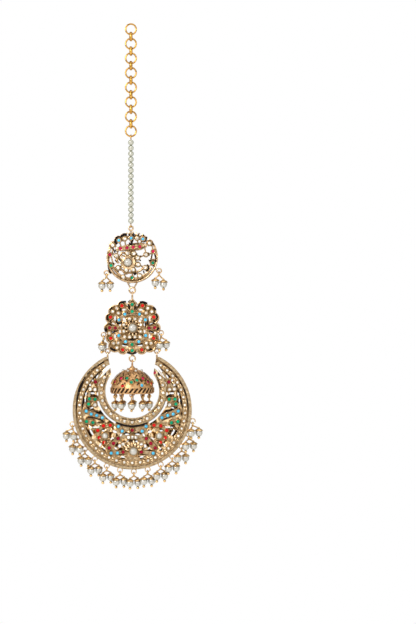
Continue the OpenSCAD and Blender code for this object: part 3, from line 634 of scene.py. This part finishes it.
for node, slot in cutNodes.items():
    body = node.split("_")[0]
    places = []
    for number, (centre, size) in enumerate(islands(node)):
        radius = size.x / 2 * stoneGrow["white" if slot == "white_stone" else "cut"]
        places.append(facing(centre.x, stoneSet["cut"], centre.z, radius, number * 0.7,
                             radius * stoneSet["tall"]))
        addCollet(body, centre, radius)
    placeCopies("cut_" + node, seed if slot == "white_stone" else gem, places, slot, body, (node,))
for node in roundNodes:
    body = node.split("_")[0]
    places = []
    for centre, size in islands(node):
        radius = size.x / 2 * stoneGrow["round"]
        places.append(facing(centre.x, stoneSet["round"], centre.z, radius, 0, radius * stoneSet["tall"]))
        addCollet(body, centre, radius)
    placeCopies("domed_" + node, cabochon, places, "turquoise", body, (node,))

# White seeds: x, z in mm from the medallion's centre; middle and crescent list one half
topSeeds = [[-3.3, 8.0], [2.1, 8.2], [-8.6, 5.2], [7.6, 6.0], [-2.0, 1.6], [0.7, 1.5], [-7.0, 0.5],
            [-4.5, -0.2], [2.4, -0.4], [6.0, 1.0], [2.6, -3.4], [5.7, -4.7], [-6.2, -4.8], [-2.6, -5.8],
            [0.4, -5.6], [-3.9, -8.9], [3.3, -8.3]]
middleSeeds = [[6.8, 8.7], [8.6, 7.2], [6.1, 6.6], [1.2, 4.0], [3.7, 1.4], [3.7, -1.5], [1.2, -3.9],
               [3.4, -3.9], [10.1, -2.3], [8.2, -6.7], [6.2, -6.6], [6.7, -8.6]]
crescentSeeds = [[18.5, 9.2], [16.4, 9.0], [16.4, 2.2], [4.0, -15.1], [1.6, -12.0]]
innerBand = {"radius": 13.6, "count": 8, "step": 14.5}
seedSize = {"top": 0.94, "middle": 0.80, "crescent": 0.84}


def mirrored(points):
    return points + [[-x, z] for x, z in points if x]


seedPlaces = {"top": topSeeds,
              "middle": [[x, z + middleZ] for x, z in mirrored(middleSeeds)],
              "crescent": [[x, z + crescentZ] for x, z in mirrored(crescentSeeds) + [[0, -12.0]]]}
for i in range(-innerBand["count"], innerBand["count"] + 1):
    turn = 180 + i * innerBand["step"]
    seedPlaces["crescent"].append(around(0, crescentZ + openingZ, innerBand["radius"], turn))
for body, points in seedPlaces.items():
    size = seedSize[body]
    places = [facing(x, stoneSet["seed"], z, size, n * 0.9) for n, (x, z) in enumerate(points)]
    placeCopies(body + "_seeds", seed, places, "white_stone", body)
    for x, z in points:
        colletPlaces[body].append(facing(x, stoneSet["seedCollet"], z, size, 0, 1.0))
for body, places in colletPlaces.items():
    placeCopies(body + "_collets", collet, places, "plain_gold", body)
print("stones set")

# Thick small links over the chain's joining rings
jointSet = {"widest": 2.0, "scale": 0.82}
linkPlaces = []
for centre, size in islands("ear_chain"):
    if size.x < jointSet["widest"]:
        radius = size.z / 2 * jointSet["scale"]
        linkPlaces.append(Matrix.Translation(centre * mm) @ Matrix.Scale(radius * mm, 4))
placeCopies("chain_joints", smallLink, linkPlaces, "yellow_gold", "top")


# Raised leaves between the white stones, petals round the pearls
def leafAt(x, z, turn, size, level):
    return (Matrix.Translation((x * mm, level * mm, z * mm)) @ Matrix.Rotation(math.radians(turn), 4, "Y")
            @ Matrix.Rotation(math.pi / 2, 4, "X") @ Matrix.Scale(size * mm, 4))


def rosette(cx, cz, radius, size, turns, level):
    return [leafAt(*around(cx, cz, radius, t), t, size, level) for t in turns]


# Centres x, z of the flowers, in mm from the centre of their medallion
lotus, sidePearl, middleHeart, topHeart = (0.6, -18.1), (12.1, -12.5), (0.2, 0.1), (-1.9, -2.4)
leaves = {"rimRadius": 23.35, "rimSize": 0.75, "rimOffset": 0.42, "rimBand": 0.8, "rimGap": 12,
          "bandSize": 0.62, "level": -1.2}
rimStones = [island[0] for island in islands("crescent_whites")]
rimTurns = sorted(math.degrees(math.atan2(c.x, c.z - crescentZ)) % 360 for c in rimStones
                  if abs(math.hypot(c.x, c.z - crescentZ) - leaves["rimRadius"]) < leaves["rimBand"])
crescentLeaves = []
for here, after in zip(rimTurns, rimTurns[1:]):
    if after - here < leaves["rimGap"]:
        t = (here + after) / 2
        for offset in (-leaves["rimOffset"], leaves["rimOffset"]):
            x, z = around(0, crescentZ, leaves["rimRadius"] + offset, t)
            crescentLeaves.append(leafAt(x, z, t + 90, leaves["rimSize"], leaves["level"]))
for i in range(-innerBand["count"], innerBand["count"]):
    t = (i + 0.5) * innerBand["step"] + 180
    crescentLeaves += rosette(0, crescentZ + openingZ, innerBand["radius"], leaves["bandSize"], [t],
                              leaves["level"])
for radius, size, turns, level in ((2.75, 1.4, (-75, -45, -15, 15, 45, 75), -1.3),
                                   (3.9, 1.3, (-60, -30, 0, 30, 60), -1.25)):
    crescentLeaves += rosette(lotus[0], crescentZ + lotus[1], radius, size, turns, level)
for side in (-1, 1):
    crescentLeaves += rosette(side * sidePearl[0], crescentZ + sidePearl[1], 1.95, 0.6, range(0, 360, 45),
                              leaves["level"])
placeCopies("crescent_leaves", leaf, crescentLeaves, "rose_gold", "crescent")
middleLeaves = rosette(middleHeart[0], middleZ + middleHeart[1], 2.95, 0.8, range(0, 360, 30), -1.25)
placeCopies("middle_leaves", leaf, middleLeaves, "rose_gold", "middle")
topLeaves = rosette(*topHeart, 3.0, 0.9, range(15, 375, 36), -1.0)
placeCopies("top_leaves", leaf, topLeaves, "rose_gold", "top")
tipStone = {"x": 10.0, "z": 16.3, "radius": 0.7}
tipPlace = facing(tipStone["x"], stoneSet["cut"], crescentZ + tipStone["z"], tipStone["radius"])
placeCopies("crescent_tip_stone", gem, [tipPlace], "ruby", "crescent")

# Stones of the dome, repeated on its back, and its collar of little white pearls
domeStones = {
    "jhumki_reds": ("red", [[67, 18], [-24, 13.5]], False),
    "jhumki_garnets": ("ruby", [[-35, 34], [38, 34], [-56, 23], [52, 23]], True),
    "jhumki_emeralds": ("emerald", [[-15, 35], [0, 23], [16, 29]], True),
    "jhumki_turquoises": ("turquoise", [[-78, 23], [29, 14.5]], True),
}
domeSet = {"radius": 9.3, "probe": 15, "stoneRadius": 9.28, "stone": 0.88, "collet": 0.86}
domeTree = surfaceOf("jhumki_dome")


def domeRadius(azimuth, elevation):
    out = outward(azimuth, elevation)
    start = (Vector((0, pivotY, domeZ)) + out * domeSet["probe"]) * mm
    hit = domeTree.ray_cast(start, -out)
    return domeSet["probe"] - hit[3] / mm if hit[0] else domeSet["radius"]


domeCollets = []
for node, (slot, points, repeated) in domeStones.items():
    turns = (0, 180) if repeated else (0,)
    shape = cabochon if slot == "turquoise" else gem
    spots = [(azimuth + turn, elevation) for turn in turns for azimuth, elevation in points]
    places = [onDome(a, e, domeSet["stoneRadius"], domeSet["stone"]) for a, e in spots]
    domeCollets += [onDome(a, e, domeSet["radius"], domeSet["collet"]) for a, e in spots]
    placeCopies("set_" + node, shape, places, slot, "jhumki", (node,))
placeCopies("jhumki_collets", thinCollet, domeCollets, "plain_gold", "jhumki")


# Dark grooves between the dome's flutes, and engraved lines over its crown
grooveShape = {"radius": 0.30, "length": 2.5, "round": 0.16, "squeeze": 0.55}


def makeGroove(name):
    clearSelection()
    bpy.ops.mesh.primitive_cylinder_add(vertices=10, radius=grooveShape["radius"],
                                        depth=grooveShape["length"])
    groove = editNew(name)
    bpy.ops.mesh.bevel(offset=grooveShape["round"], segments=2, affect="EDGES")
    bpy.ops.transform.resize(value=(grooveShape["squeeze"], 1, 1), center_override=(0, 0, 0))
    return endEdit(groove, 50)


groove = makeGroove("grooveTemplate")
grooveSet = {"slant": -38, "count": 30, "first": 6, "lift": 9.42, "height": 0.1}
slashes = []
for k in range(grooveSet["count"]):
    turn = Matrix.Rotation(math.radians(grooveSet["first"] + k * 360 / grooveSet["count"]), 4, "Z")
    tilt = Matrix.Rotation(math.radians(grooveSet["slant"]), 4, "X")
    slashes.append(Matrix.Translation((0, pivotY * mm, (domeZ + grooveSet["height"]) * mm)) @ turn
                   @ Matrix.Translation((grooveSet["lift"] * mm, 0, 0)) @ tilt @ Matrix.Scale(mm, 4))
engraved = {"sink": 0.02,  # rows of elevation, size, count, lean
            "rows": [[52, 0.6, 16, 25], [41, 0.85, 14, -30], [29, 0.8, 16, 35], [19, 0.7, 18, -50]]}
for elevation, size, count, lean in engraved["rows"]:
    for k in range(count):
        azimuth = 360 * k / count + elevation
        slashes.append(onDome(azimuth, elevation, domeRadius(azimuth, elevation) + engraved["sink"], size)
                       @ Matrix.Rotation(math.radians(lean), 4, "Z") @ Matrix.Rotation(math.pi / 2, 4, "X")
                       @ Matrix.Rotation(math.pi / 2, 4, "Z"))
placeCopies("jhumki_grooves", groove, slashes, "patina", "jhumki")
collar = {"elevation": 63, "pearlRadius": 9.6, "pearl": 0.62, "cupRadius": 9.25, "cup": 0.5}
collarTurns = [22.5 + 45 * k for k in range(8)]
collarPearls = [onDome(a, collar["elevation"], collar["pearlRadius"], collar["pearl"]) for a in collarTurns]
collarCups = [onDome(a, collar["elevation"], collar["cupRadius"], collar["cup"]) for a in collarTurns]
placeCopies("jhumki_collar_pearls", smallPearl, collarPearls, "pearl", "jhumki")
placeCopies("jhumki_collar_cups", thinCollet, collarCups, "plain_gold", "jhumki")

# Pearls: the hanging ones have caps, the set ones stand in cups
hangingPearls = {
    "string_pearls": ("top", "string_pearl", smallPearl), "top_drop_pearls": ("top", "pearl", pearlShape),
    "middle_drop_pearls": ("middle", "pearl", pearlShape), "fringe_pearls": ("crescent", "pearl", pearlShape),
    "jhumki_pearls": ("jhumki", "pearl", pearlShape),
}
pearlSet = {"grow": 1.08, "turn": 1.1, "capTurn": 0.8, "faceTurn": 1.57, "cupLift": -1.0, "cupWidth": 0.93,
            "cupHeight": 0.9}


def pearlAt(centre, radius, turn, axis="Z"):
    return Matrix.Translation(centre * mm) @ Matrix.Rotation(turn, 4, axis) @ Matrix.Scale(radius * mm, 4)


for node, (body, slot, shape) in hangingPearls.items():
    pearls = [(centre, size.x / 2 * pearlSet["grow"]) for centre, size in islands(node)]
    places = [pearlAt(centre, radius, n * pearlSet["turn"]) for n, (centre, radius) in enumerate(pearls)]
    placeCopies("round_" + node, shape, places, slot, body, (node,))
    if node != "string_pearls":
        caps = [pearlAt(centre, radius, n * pearlSet["capTurn"]) for n, (centre, radius) in enumerate(pearls)]
        placeCopies("caps_" + node, cap, caps, "plain_gold", body)
setPearls = {"top_pearl": "top", "middle_pearl": "middle", "lotus_pearl": "crescent",
             "side_pearls": "crescent"}
for node, body in setPearls.items():
    pearls = [(centre, size.x / 2) for centre, size in islands(node)]
    places = [pearlAt(centre, radius, pearlSet["faceTurn"], "X") for centre, radius in pearls]
    placeCopies("set_" + node, pearlShape, places, "pearl", body, (node,))
    cups = [facing(centre.x, pearlSet["cupLift"], centre.z, radius * pearlSet["cupWidth"], 0,
                   pearlSet["cupHeight"]) for centre, radius in pearls]
    placeCopies("cup_" + node, thinCollet, cups, "plain_gold", body)
print("pearls strung")


# Wires and dark inlays follow strokes in mm from each medallion's centre; an inlay lies on the metal under it
strokeSet = {"radius": 0.5, "tip": 0.6, "inlayCrown": 0.12, "lift": 0.05, "probe": -20, "backing": 0.8}


def drawStrokes(name, strokes, centreZ, front, back, crown, slot, body, under=None):
    surface = surfaceOf(under) if under else None
    curve = bpy.data.curves.new(name, "CURVE")
    curve.dimensions = "3D"
    curve.bevel_depth = strokeSet["radius"] * mm
    curve.bevel_resolution = 1
    curve.use_fill_caps = True
    for width, points in strokes:
        spline = curve.splines.new("NURBS" if len(points) > 2 else "POLY")
        spline.points.add(len(points) - 1)
        for n, (point, (x, z)) in enumerate(zip(spline.points, points)):
            point.co = (x * mm, 0, (z + centreZ) * mm, 1)
            point.radius = width * (strokeSet["tip"] if n in (0, len(points) - 1) else 1.0)
        if spline.type == "NURBS":
            spline.use_endpoint_u = True
            spline.order_u = 3
            spline.resolution_u = 3
    obj = bpy.data.objects.new(name, curve)
    bpy.context.scene.collection.objects.link(obj)
    pick(obj)
    bpy.ops.object.convert(target="MESH")
    startEdit()
    work = bmesh.from_edit_mesh(obj.data)
    for vert in work.verts:
        if vert.co.y > -1e-6:
            vert.co.y = back * mm
            continue
        level = front + crown
        if surface:
            hit = surface.ray_cast((vert.co.x, strokeSet["probe"] * mm, vert.co.z), (0, 1, 0))
            if hit[0]:
                level = min(level, hit[0].y / mm - strokeSet["lift"])
        vert.co.y = level * mm + vert.co.y * crown
    bmesh.update_edit_mesh(obj.data)
    faceOut()
    return finishPiece(endEdit(obj, 50), slot, body)


def arc(cx, cz, radius, start, end, steps=10):
    return [around(cx, cz, radius, start + (end - start) * k / steps) for k in range(steps + 1)]


# Dark strokes: width, then points x, z
middleDark = [
    (0.7, [[-5.9, 10.8], [-4.6, 11.6], [-2.7, 11.6]]), (0.7, [[3.3, 11.4], [5.0, 11.6], [6.6, 10.8]]),
    (0.9, [[-9.9, 8.1], [-9.0, 8.9]]), (0.6, [[9.2, 9.2], [10.0, 8.6], [10.4, 7.8]]),
    (0.7, [[-10.7, 5.9], [-11.1, 4.7], [-11.0, 3.4]]), (0.7, [[10.4, 6.3], [11.1, 4.9], [10.7, 3.8]]),
    (1.0, [[-11.9, -0.2], [-11.5, -1.7]]), (1.1, [[11.3, 0.0], [11.4, -0.8]]),
    (0.36, [[-10.5, 2.0], [-7.6, 0.9]]), (0.36, [[-8.8, -2.1], [-6.4, -0.9]]),
    (0.36, [[7.1, 1.1], [9.8, 2.3]]), (0.40, [[7.4, -1.3], [9.5, -2.1]]),
    (0.42, [[-7.0, 4.4], [-7.0, 2.2], [-5.8, 1.7], [-4.6, 2.4]]),
    (0.40, [[7.0, 4.2], [6.9, 2.8], [6.6, 1.5]]), (0.36, [[5.5, 2.2], [5.9, 0.4]]),
    (0.36, [[-9.4, 3.4], [-9.2, 2.4]]), (0.34, [[9.3, 3.6], [9.8, 2.7]]), (0.36, [[-2.0, 10.3], [-0.9, 8.3]]),
    (0.34, [[1.4, 9.5], [0.9, 8.2]]), (0.34, [[3.0, 10.4], [1.8, 8.0]]), (0.4, [[-5.2, 8.6], [-4.8, 7.2]]),
    (0.4, [[5.4, 8.4], [5.9, 7.8]]), (0.36, [[-4.3, -7.1], [-3.3, -7.6], [-2.3, -7.5]]),
    (0.36, [[2.1, -7.3], [3.3, -7.4], [4.5, -7.0]]), (0.8, [[-2.2, -10.8], [0.0, -11.3], [1.8, -10.8]]),
    (0.9, [[-9.6, -8.9], [-7.6, -9.9]]), (0.5, [[7.3, -9.6], [8.7, -9.2]]),
    (0.5, [[-4.2, 0.1], [-3.8, -0.4]]), (0.45, [[3.8, -2.6], [4.1, -2.9]]),
    (0.4, [[-5.3, -5.3], [-4.9, -5.0]]), (0.34, [[-1.7, -5.0], [0.4, -5.1], [2.0, -4.6]]),
    (0.3, [[-1.9, 11.5], [-0.9, 12.3]]), (0.36, [[-2.3, 3.0], [-1.3, 3.2]]),
    (0.3, [[-3.2, 6.9], [-1.0, 6.2]]), (0.3, [[1.0, 6.2], [4.2, 6.4]]),
]
topDark = [
    (0.55, arc(-5.9, 7.3, 1.55, -160, 20)), (0.55, arc(-3.3, 8.2, 1.75, -70, 30)),
    (0.34, arc(-3.3, 8.0, 1.1, 200, 280, 4)), (0.42, [[-1.5, 10.4], [-1.2, 8.9], [-0.8, 7.0]]),
    (0.5, [[0.4, 10.6], [0.5, 9.0], [-0.1, 6.9], [-0.5, 5.4]]), (0.34, [[-1.3, 6.4], [-1.1, 5.0]]),
    (0.34, [[1.2, 10.2], [1.3, 8.4]]), (0.36, [[2.9, 10.4], [2.7, 9.4]]),
    (0.42, [[4.0, 9.6], [3.5, 8.2], [4.1, 6.9]]), (0.42, [[6.4, 8.9], [6.0, 7.4], [5.1, 6.7], [4.1, 6.9]]),
    (0.34, [[4.9, 9.9], [5.0, 9.1]]), (0.5, [[7.2, 7.5], [8.8, 6.4], [9.5, 5.2]]),
    (0.36, [[3.2, 5.6], [1.0, 5.7], [-0.8, 5.3]]), (0.3, [[3.2, 3.5], [5.8, 4.6]]),
    (0.36, [[6.9, 5.0], [8.4, 5.0]]), (0.4, [[-10.0, 4.6], [-9.3, 4.4], [-8.8, 3.8]]),
    (0.36, [[-8.3, 3.6], [-7.6, 1.8]]), (0.3, [[-7.9, 2.7], [-6.3, 2.6]]),
    (0.5, [[-10.4, -2.8], [-8.0, -2.9]]), (0.55, [[-10.6, -3.6], [-10.1, -6.2], [-9.3, -7.4]]),
    (0.45, [[-8.3, -3.2], [-8.8, -4.8]]), (0.5, [[7.2, -1.6], [10.8, -1.7]]),
    (0.36, [[9.2, -3.2], [9.6, -4.6]]), (0.34, [[8.7, 0.9], [8.1, -0.9]]), (0.34, [[9.9, 1.0], [10.3, -0.6]]),
    (0.34, [[-6.6, -5.6], [-6.0, -6.6]]), (0.6, [[-5.4, -9.6], [-4.4, -9.4]]),
    (0.5, [[-1.4, -10.9], [-0.9, -11.6]]), (0.5, [[2.6, -9.9], [3.9, -10.1]]),
    (0.45, [[-3.1, -6.6], [-2.0, -7.0]]), (0.5, [[-0.2, -6.8], [1.4, -6.9]]),
    (0.5, [[0.7, -7.9], [1.8, -7.3]]), (0.45, [[-5.4, 0.4], [-5.0, 0.1]]),
    (0.45, [[-4.9, -2.4], [-4.4, -2.2]]), (0.45, [[-5.4, -4.2], [-5.0, -3.9]]),
    (0.45, [[3.5, 0.3], [3.8, 0.6]]), (0.45, [[1.6, 1.6], [2.2, 1.2]]), (0.4, [[3.2, -1.6], [3.8, -1.4]]),
    (0.45, arc(5.6, -4.7, 1.5, 30, 170)), (0.34, arc(6.0, 1.0, 1.2, 40, 120, 5)),
    (0.4, [[4.9, -6.0], [5.2, -7.2]]), (0.36, arc(-4.5, -0.4, 1.2, 190, 260, 5)),
    (0.3, [[-7.6, -1.2], [-6.9, -2.2]]),
]
crescentDark = [
    (0.85, [[-24.4, 4.0], [-23.7, 8.0], [-22.6, 11.0], [-20.7, 14.6]]),
    (0.75, [[-19.8, 15.7], [-18.5, 17.0]]), (0.7, [[-18.0, 17.5], [-16.2, 19.0]]),
    (0.6, [[-15.2, 19.6], [-12.8, 20.9]]), (0.6, [[13.3, 20.3], [15.0, 18.9]]),
    (0.7, [[15.7, 18.4], [17.4, 16.8]]), (0.7, [[18.4, 15.6], [19.6, 14.1]]),
    (0.7, [[20.4, 13.0], [21.7, 10.8]]), (0.7, [[22.4, 9.7], [23.7, 6.6]]), (0.5, [[24.2, 4.9], [24.4, 0.2]]),
    (0.6, [[-24.5, 3.4], [-24.5, 0.6]]), (0.55, [[-20.7, 7.8], [-19.8, 9.8]]),
    (0.55, [[-22.0, 0.6], [-21.9, 2.8], [-21.4, 4.9]]), (0.45, [[-18.4, 12.4], [-16.8, 14.2]]),
    (0.5, [[21.6, 4.4], [21.9, 0.8]]), (0.4, [[21.6, -1.0], [21.5, -2.4]]),
    (0.35, [[19.8, 8.8], [20.4, 7.4]]), (0.35, [[-13.9, 16.6], [-13.5, 17.1]]),
    (0.3, [[21.0, 5.6], [20.6, 7.0]]), (0.75, arc(0, openingZ, 15.35, 155, 207)),
    (0.34, [[-1.6, -4.3], [0.0, -4.5], [1.8, -4.3]]), (0.48, [[-19.6, -3.2], [-15.8, -3.6], [-12.8, -4.8]]),
    (0.3, [[-19.8, 0.2], [-16.2, -0.8], [-13.3, -1.9]]), (0.48, [[12.9, -4.6], [16.2, -3.2], [19.8, -2.0]]),
    (0.36, [[14.8, -0.9], [17.4, -0.2], [19.8, 1.2]]), (0.42, [[-20.6, -6.0], [-19.4, -7.4]]),
    (0.34, [[17.4, -6.8], [18.9, -9.0]]), (0.34, [[18.2, -6.6], [19.6, -8.4]]),
    (0.34, [[16.7, -7.2], [18.0, -9.6]]), (0.5, [[20.6, -6.2], [21.0, -7.0]]),
    (0.4, [[11.9, -14.4], [13.9, -15.6]]), (0.36, [[-15.2, -5.6], [-12.2, -5.2]]),
    (0.4, [[-1.4, -13.3], [0.2, -13.5], [2.1, -13.2]]), (0.35, [[-1.3, -8.4], [-1.1, -9.3]]),
    (0.35, [[1.1, -8.4], [1.3, -9.3]]), (0.3, [[-0.9, -10.1], [1.1, -10.1]]),
    (0.3, [[-17.4, -7.6], [-17.0, -8.4]]), (0.4, [[-19.2, 8.0], [-17.6, 8.0]]),
    (0.5, [[-18.2, 7.2], [-17.8, 6.4]]), (0.36, [[-20.2, 6.8], [-19.6, 7.4]]),
    (0.36, [[-20.6, 3.4], [-19.9, 1.2], [-19.0, 0.4]]), (0.34, [[16.4, 6.2], [15.4, 5.6]]),
    (0.34, [[-12.6, 10.0], [-11.9, 12.6], [-10.6, 15.6]]), (0.34, [[12.2, 9.6], [11.6, 12.8], [10.4, 15.9]]),
]


def widened(strokes, factor, extra=0.0):
    return [(width * factor + extra, points) for width, points in strokes]


def sided(side, strokes):
    return [(width, [[side * x, z] for x, z in points]) for width, points in strokes]


# Strokes, height of the centre, front, back, widening
inlayLevels = {"middle": (middleDark, middleZ, -1.55, -0.8, 1.85), "top": (topDark, 0.0, -1.3, -0.7, 1.95),
               "crescent": (crescentDark, crescentZ, -1.42, -0.8, 1.3)}
for name, (strokes, z, front, back, widen) in inlayLevels.items():
    drawStrokes(name + "_inlays", widened(strokes, widen), z, front, back, strokeSet["inlayCrown"], "patina",
                name, name + "_frame")
backing = widened(topDark, 1.0, strokeSet["backing"])
drawStrokes("top_backing", backing, 0.0, -0.95, -0.25, 0.3, "medallion_gold", "top")
print("inlays drawn")

# Applied gold wires: rims, petals, scrolls
crescentWires = [(0.42, arc(0, 0, 24.55, 98, 262, 60)), (0.34, arc(0, 0, 22.15, 102, 258, 50)),
                 (0.46, arc(0, openingZ, 12.1, 50, 310, 50)), (0.36, arc(0, openingZ, 14.9, 50, 310, 50)),
                 (0.5, arc(0, 0, 25.9, 28, 332, 80)),
                 (0.4, arc(*lotus, 2.9, -75, 75, 8)), (0.4, arc(*lotus, 4.0, -60, 60, 8)),
                 (0.36, arc(-2.1, -16.2, 1.9, -120, 20, 6)), (0.36, arc(3.3, -16.2, 1.9, -20, 120, 6)),
                 (0.36, [[-2.2, -18.7], [0.6, -20.6], [3.4, -18.7]])]
crescentHalf = [
    (0.34, [[11.6, -5.6], [13.9, -6.2], [15.6, -7.6]]), (0.34, [[10.0, -8.0], [11.9, -9.0], [13.6, -10.6]]),
    (0.34, [[13.5, -13.0], [11.3, -13.4], [9.8, -12.2], [10.2, -10.4]]),
    (0.34, [[4.4, -12.6], [7.4, -13.6], [9.4, -15.6], [10.6, -17.9]]),
    (0.34, [[7.3, -11.4], [9.6, -13.4], [11.4, -16.0]]), (0.34, [[20.8, 1.0], [16.0, -0.8], [12.2, -2.6]]),
    (0.34, [[20.6, -1.8], [16.4, -3.0], [12.2, -4.6]]),
    (0.34, [[14.6, 16.0], [15.3, 13.6], [14.6, 10.6], [15.0, 8.2]]),
    (0.34, [[18.9, 12.6], [17.6, 10.9], [17.9, 9.0]]),
    (0.34, [[14.6, 4.8], [15.6, 3.4], [17.8, 3.0], [18.2, 1.6]]),
    (0.36, [[2.2, -19.9], [5.8, -20.4], [9.6, -20.0]]),
]
middleWires = [(0.42, arc(*middleHeart, 2.55, 0, 360, 24))]
middleWires += [(0.34, arc(*middleHeart, 4.9, turn, turn + 70, 8)) for turn in (10, 100, 190, 280)]
middleWires.append((0.4, [[-2.0, 10.9], [0, 12.9], [2.0, 10.9], [0, 8.8], [-2.0, 10.9]]))
middleHalf = [
    (0.36, [[9.3, 5.9], [8.0, 5.0], [8.1, 3.0], [9.6, 2.4]]),
    (0.36, [[11.0, 1.3], [8.4, 1.4], [6.4, 0.2], [8.4, -1.4], [11.0, -1.2]]),
    (0.36, [[4.6, 4.6], [6.0, 5.0], [6.9, 4.2], [6.8, 2.8]]), (0.36, [[2.0, 7.2], [3.2, 7.2], [4.4, 6.4]]),
    (0.36, [[2.0, -7.0], [3.2, -7.1], [4.4, -6.4]]),
    (0.36, [[6.8, -2.4], [7.0, -3.6], [6.2, -4.6], [4.6, -4.4]]),
    (0.36, [[8.2, -5.2], [9.6, -5.8], [10.6, -4.6]]),
]
for side in (-1, 1):
    crescentWires += sided(side, crescentHalf)
    middleWires.append((0.4, arc(side * 4.5, 9.6, 1.9, side * 10 - 80, side * 10 + 80, 8)))
    middleWires += sided(side, middleHalf)
    middleWires.append((0.4, arc(side * 4.2, -9.5, 1.7, 100 - side * 10, 260 - side * 10, 8)))
topWires = [(0.4, arc(*topHeart, 2.6, 0, 360, 20)), (0.42, arc(*topHeart, 3.3, 20, 150, 10)),
            (0.42, arc(0, 0, 10.9, 112, 250, 30)), (0.36, arc(0, 0, 9.6, 118, 244, 26)),
            (0.34, arc(-0.4, 0.6, 7.6, 130, 235, 18)),
            (0.4, [[-7.4, 3.3], [-2.0, 5.3], [3.2, 5.9], [7.0, 5.3], [3.6, 3.3]]),
            (0.36, [[-7.4, 3.2], [-1.6, 2.8], [3.6, 3.3]]),
            (0.4, [[-10.9, -2.3], [-7.2, -2.5], [-9.5, -6.1]]),
            (0.4, [[11.0, -1.1], [6.9, -0.9], [9.8, -5.1], [11.0, -1.1]])]
for x, z, r in ((-5.9, 7.3, 1.2), (-3.3, 8.1, 1.25), (-0.5, 8.3, 1.1), (2.1, 8.2, 1.1), (4.7, 7.9, 1.25),
                (7.6, 6.0, 1.2), (-8.6, 5.2, 1.2)):
    topWires.append((0.36, arc(x, z, r, -110, 110, 9)))
for turn in range(12, 372, 45):
    topWires.append((0.36, arc(*around(*topHeart, 4.0, turn), 1.0, turn - 100, turn + 100, 8)))
# Strokes, height of the centre, front, back, crown, slot, body
wireSets = {
    "crescent_wires": (crescentWires, crescentZ, -1.5, -0.8, 0.5, "rose_gold", "crescent"),
    "middle_wires": (middleWires, middleZ, -1.5, -0.8, 0.5, "medallion_gold", "middle"),
    "top_wires": (widened(topWires, 2.0), 0.0, -1.2, -0.3, 0.6, "medallion_gold", "top"),
    # Painted shadow: a wider dark brown copy of the top wires, set behind them
    "top_wire_shadows": (widened(topWires, 2.0, 0.5), 0.0, -0.75, -0.25, 0.4, "painted_wire_shadow", "top"),
}
for name, values in wireSets.items():
    drawStrokes(name, *values)
print("wires drawn")

templates = (gem, leaf, smallLink, seed, cabochon, collet, thinCollet, pearlShape, smallPearl, cap, groove)
for template in templates:
    bpy.data.objects.remove(template)


# Studio: soft boxes aimed at a height on the hanging line, and a pale floor
def softBox(name, place, height, size, power):
    data = bpy.data.lights.new(name, "AREA")
    data.shape = "RECTANGLE"
    data.size, data.size_y = size
    data.energy = power
    lamp = bpy.data.objects.new(name, data)
    bpy.context.scene.collection.objects.link(lamp)
    lamp.location = place
    lamp.rotation_euler = (Vector((0, 0, height)) - Vector(place)).to_track_quat("-Z", "Y").to_euler()


studio = {"key": 1.1, "fill": 0.6, "top": 1.0, "low": 0.4, "front": 0.48, "spark": 4.9}
softBox("keyLight", (-0.45, -0.55, 0.40), -0.02, (0.30, 0.45), studio["key"])
softBox("fillLight", (0.60, -0.45, 0.05), -0.03, (0.20, 0.50), studio["fill"])
softBox("topLight", (0.05, -0.15, 0.65), 0, (0.60, 0.25), studio["top"])
softBox("lowLight", (-0.1, -0.5, -0.45), -0.05, (0.40, 0.12), studio["low"])
softBox("sparkLight", (-0.42, -0.85, 0.30), -0.03, (0.34, 0.36), studio["spark"])
softBox("frontLight", (0.05, -1.1, 0.05), -0.03, (0.75, 0.85), studio["front"])

floorSet = {"size": 1.7, "height": -0.33, "cuts": 8, "glow": 0.45, "rough": 0.9}
clearSelection()
bpy.ops.mesh.primitive_plane_add(size=floorSet["size"], location=(0, 0, floorSet["height"]))
floor = editNew("floor")
bpy.ops.mesh.subdivide(number_cuts=floorSet["cuts"])
endEdit(floor)
floorPaint, floorTree, floorSurface = startMaterial("floor")
floorNoise = newNode(floorTree, "ShaderNodeTexNoise", {"Scale": 6.0})
floorRamp = newNode(floorTree, "ShaderNodeValToRGB")
setRamp(floorRamp, [(0, (0.86, 0.86, 0.86)), (1, (0.92, 0.92, 0.91))])
floorTree.links.new(floorNoise.outputs["Fac"], floorRamp.inputs["Fac"])
for socket in ("Base Color", "Emission Color"):
    floorTree.links.new(floorRamp.outputs["Color"], floorSurface.inputs[socket])
setInputs(floorSurface, {"Emission Strength": floorSet["glow"], "Roughness": floorSet["rough"]})
floor.data.materials.append(floorPaint)

# World: white for the camera, patches of light and dark for the metal to reflect
world = bpy.data.worlds.new("studio")
bpy.context.scene.world = world
world.use_nodes = True
tree = world.node_tree
tree.nodes.clear()
link = tree.links.new
out = newNode(tree, "ShaderNodeOutputWorld")
path = newNode(tree, "ShaderNodeLightPath")
mixed = newNode(tree, "ShaderNodeMixShader")
seen = newNode(tree, "ShaderNodeBackground", {"Color": (1, 1, 1, 1), "Strength": 1.0})
felt = newNode(tree, "ShaderNodeBackground", {"Strength": 1.0})
direction = newNode(tree, "ShaderNodeTexCoord")
patches = newNode(tree, "ShaderNodeTexNoise", {"Scale": 2.6, "Detail": 2.0, "Roughness": 0.6})
contrast = newNode(tree, "ShaderNodeMapRange",
                   {"From Min": 0.40, "From Max": 0.60, "To Min": 0.05, "To Max": 1.5})
link(direction.outputs["Generated"], patches.inputs["Vector"])
link(patches.outputs["Fac"], contrast.inputs["Value"])
link(contrast.outputs["Result"], felt.inputs["Color"])
link(path.outputs["Is Camera Ray"], mixed.inputs["Fac"])
link(felt.outputs[0], mixed.inputs[1])
link(seen.outputs[0], mixed.inputs[2])
link(mixed.outputs[0], out.inputs["Surface"])
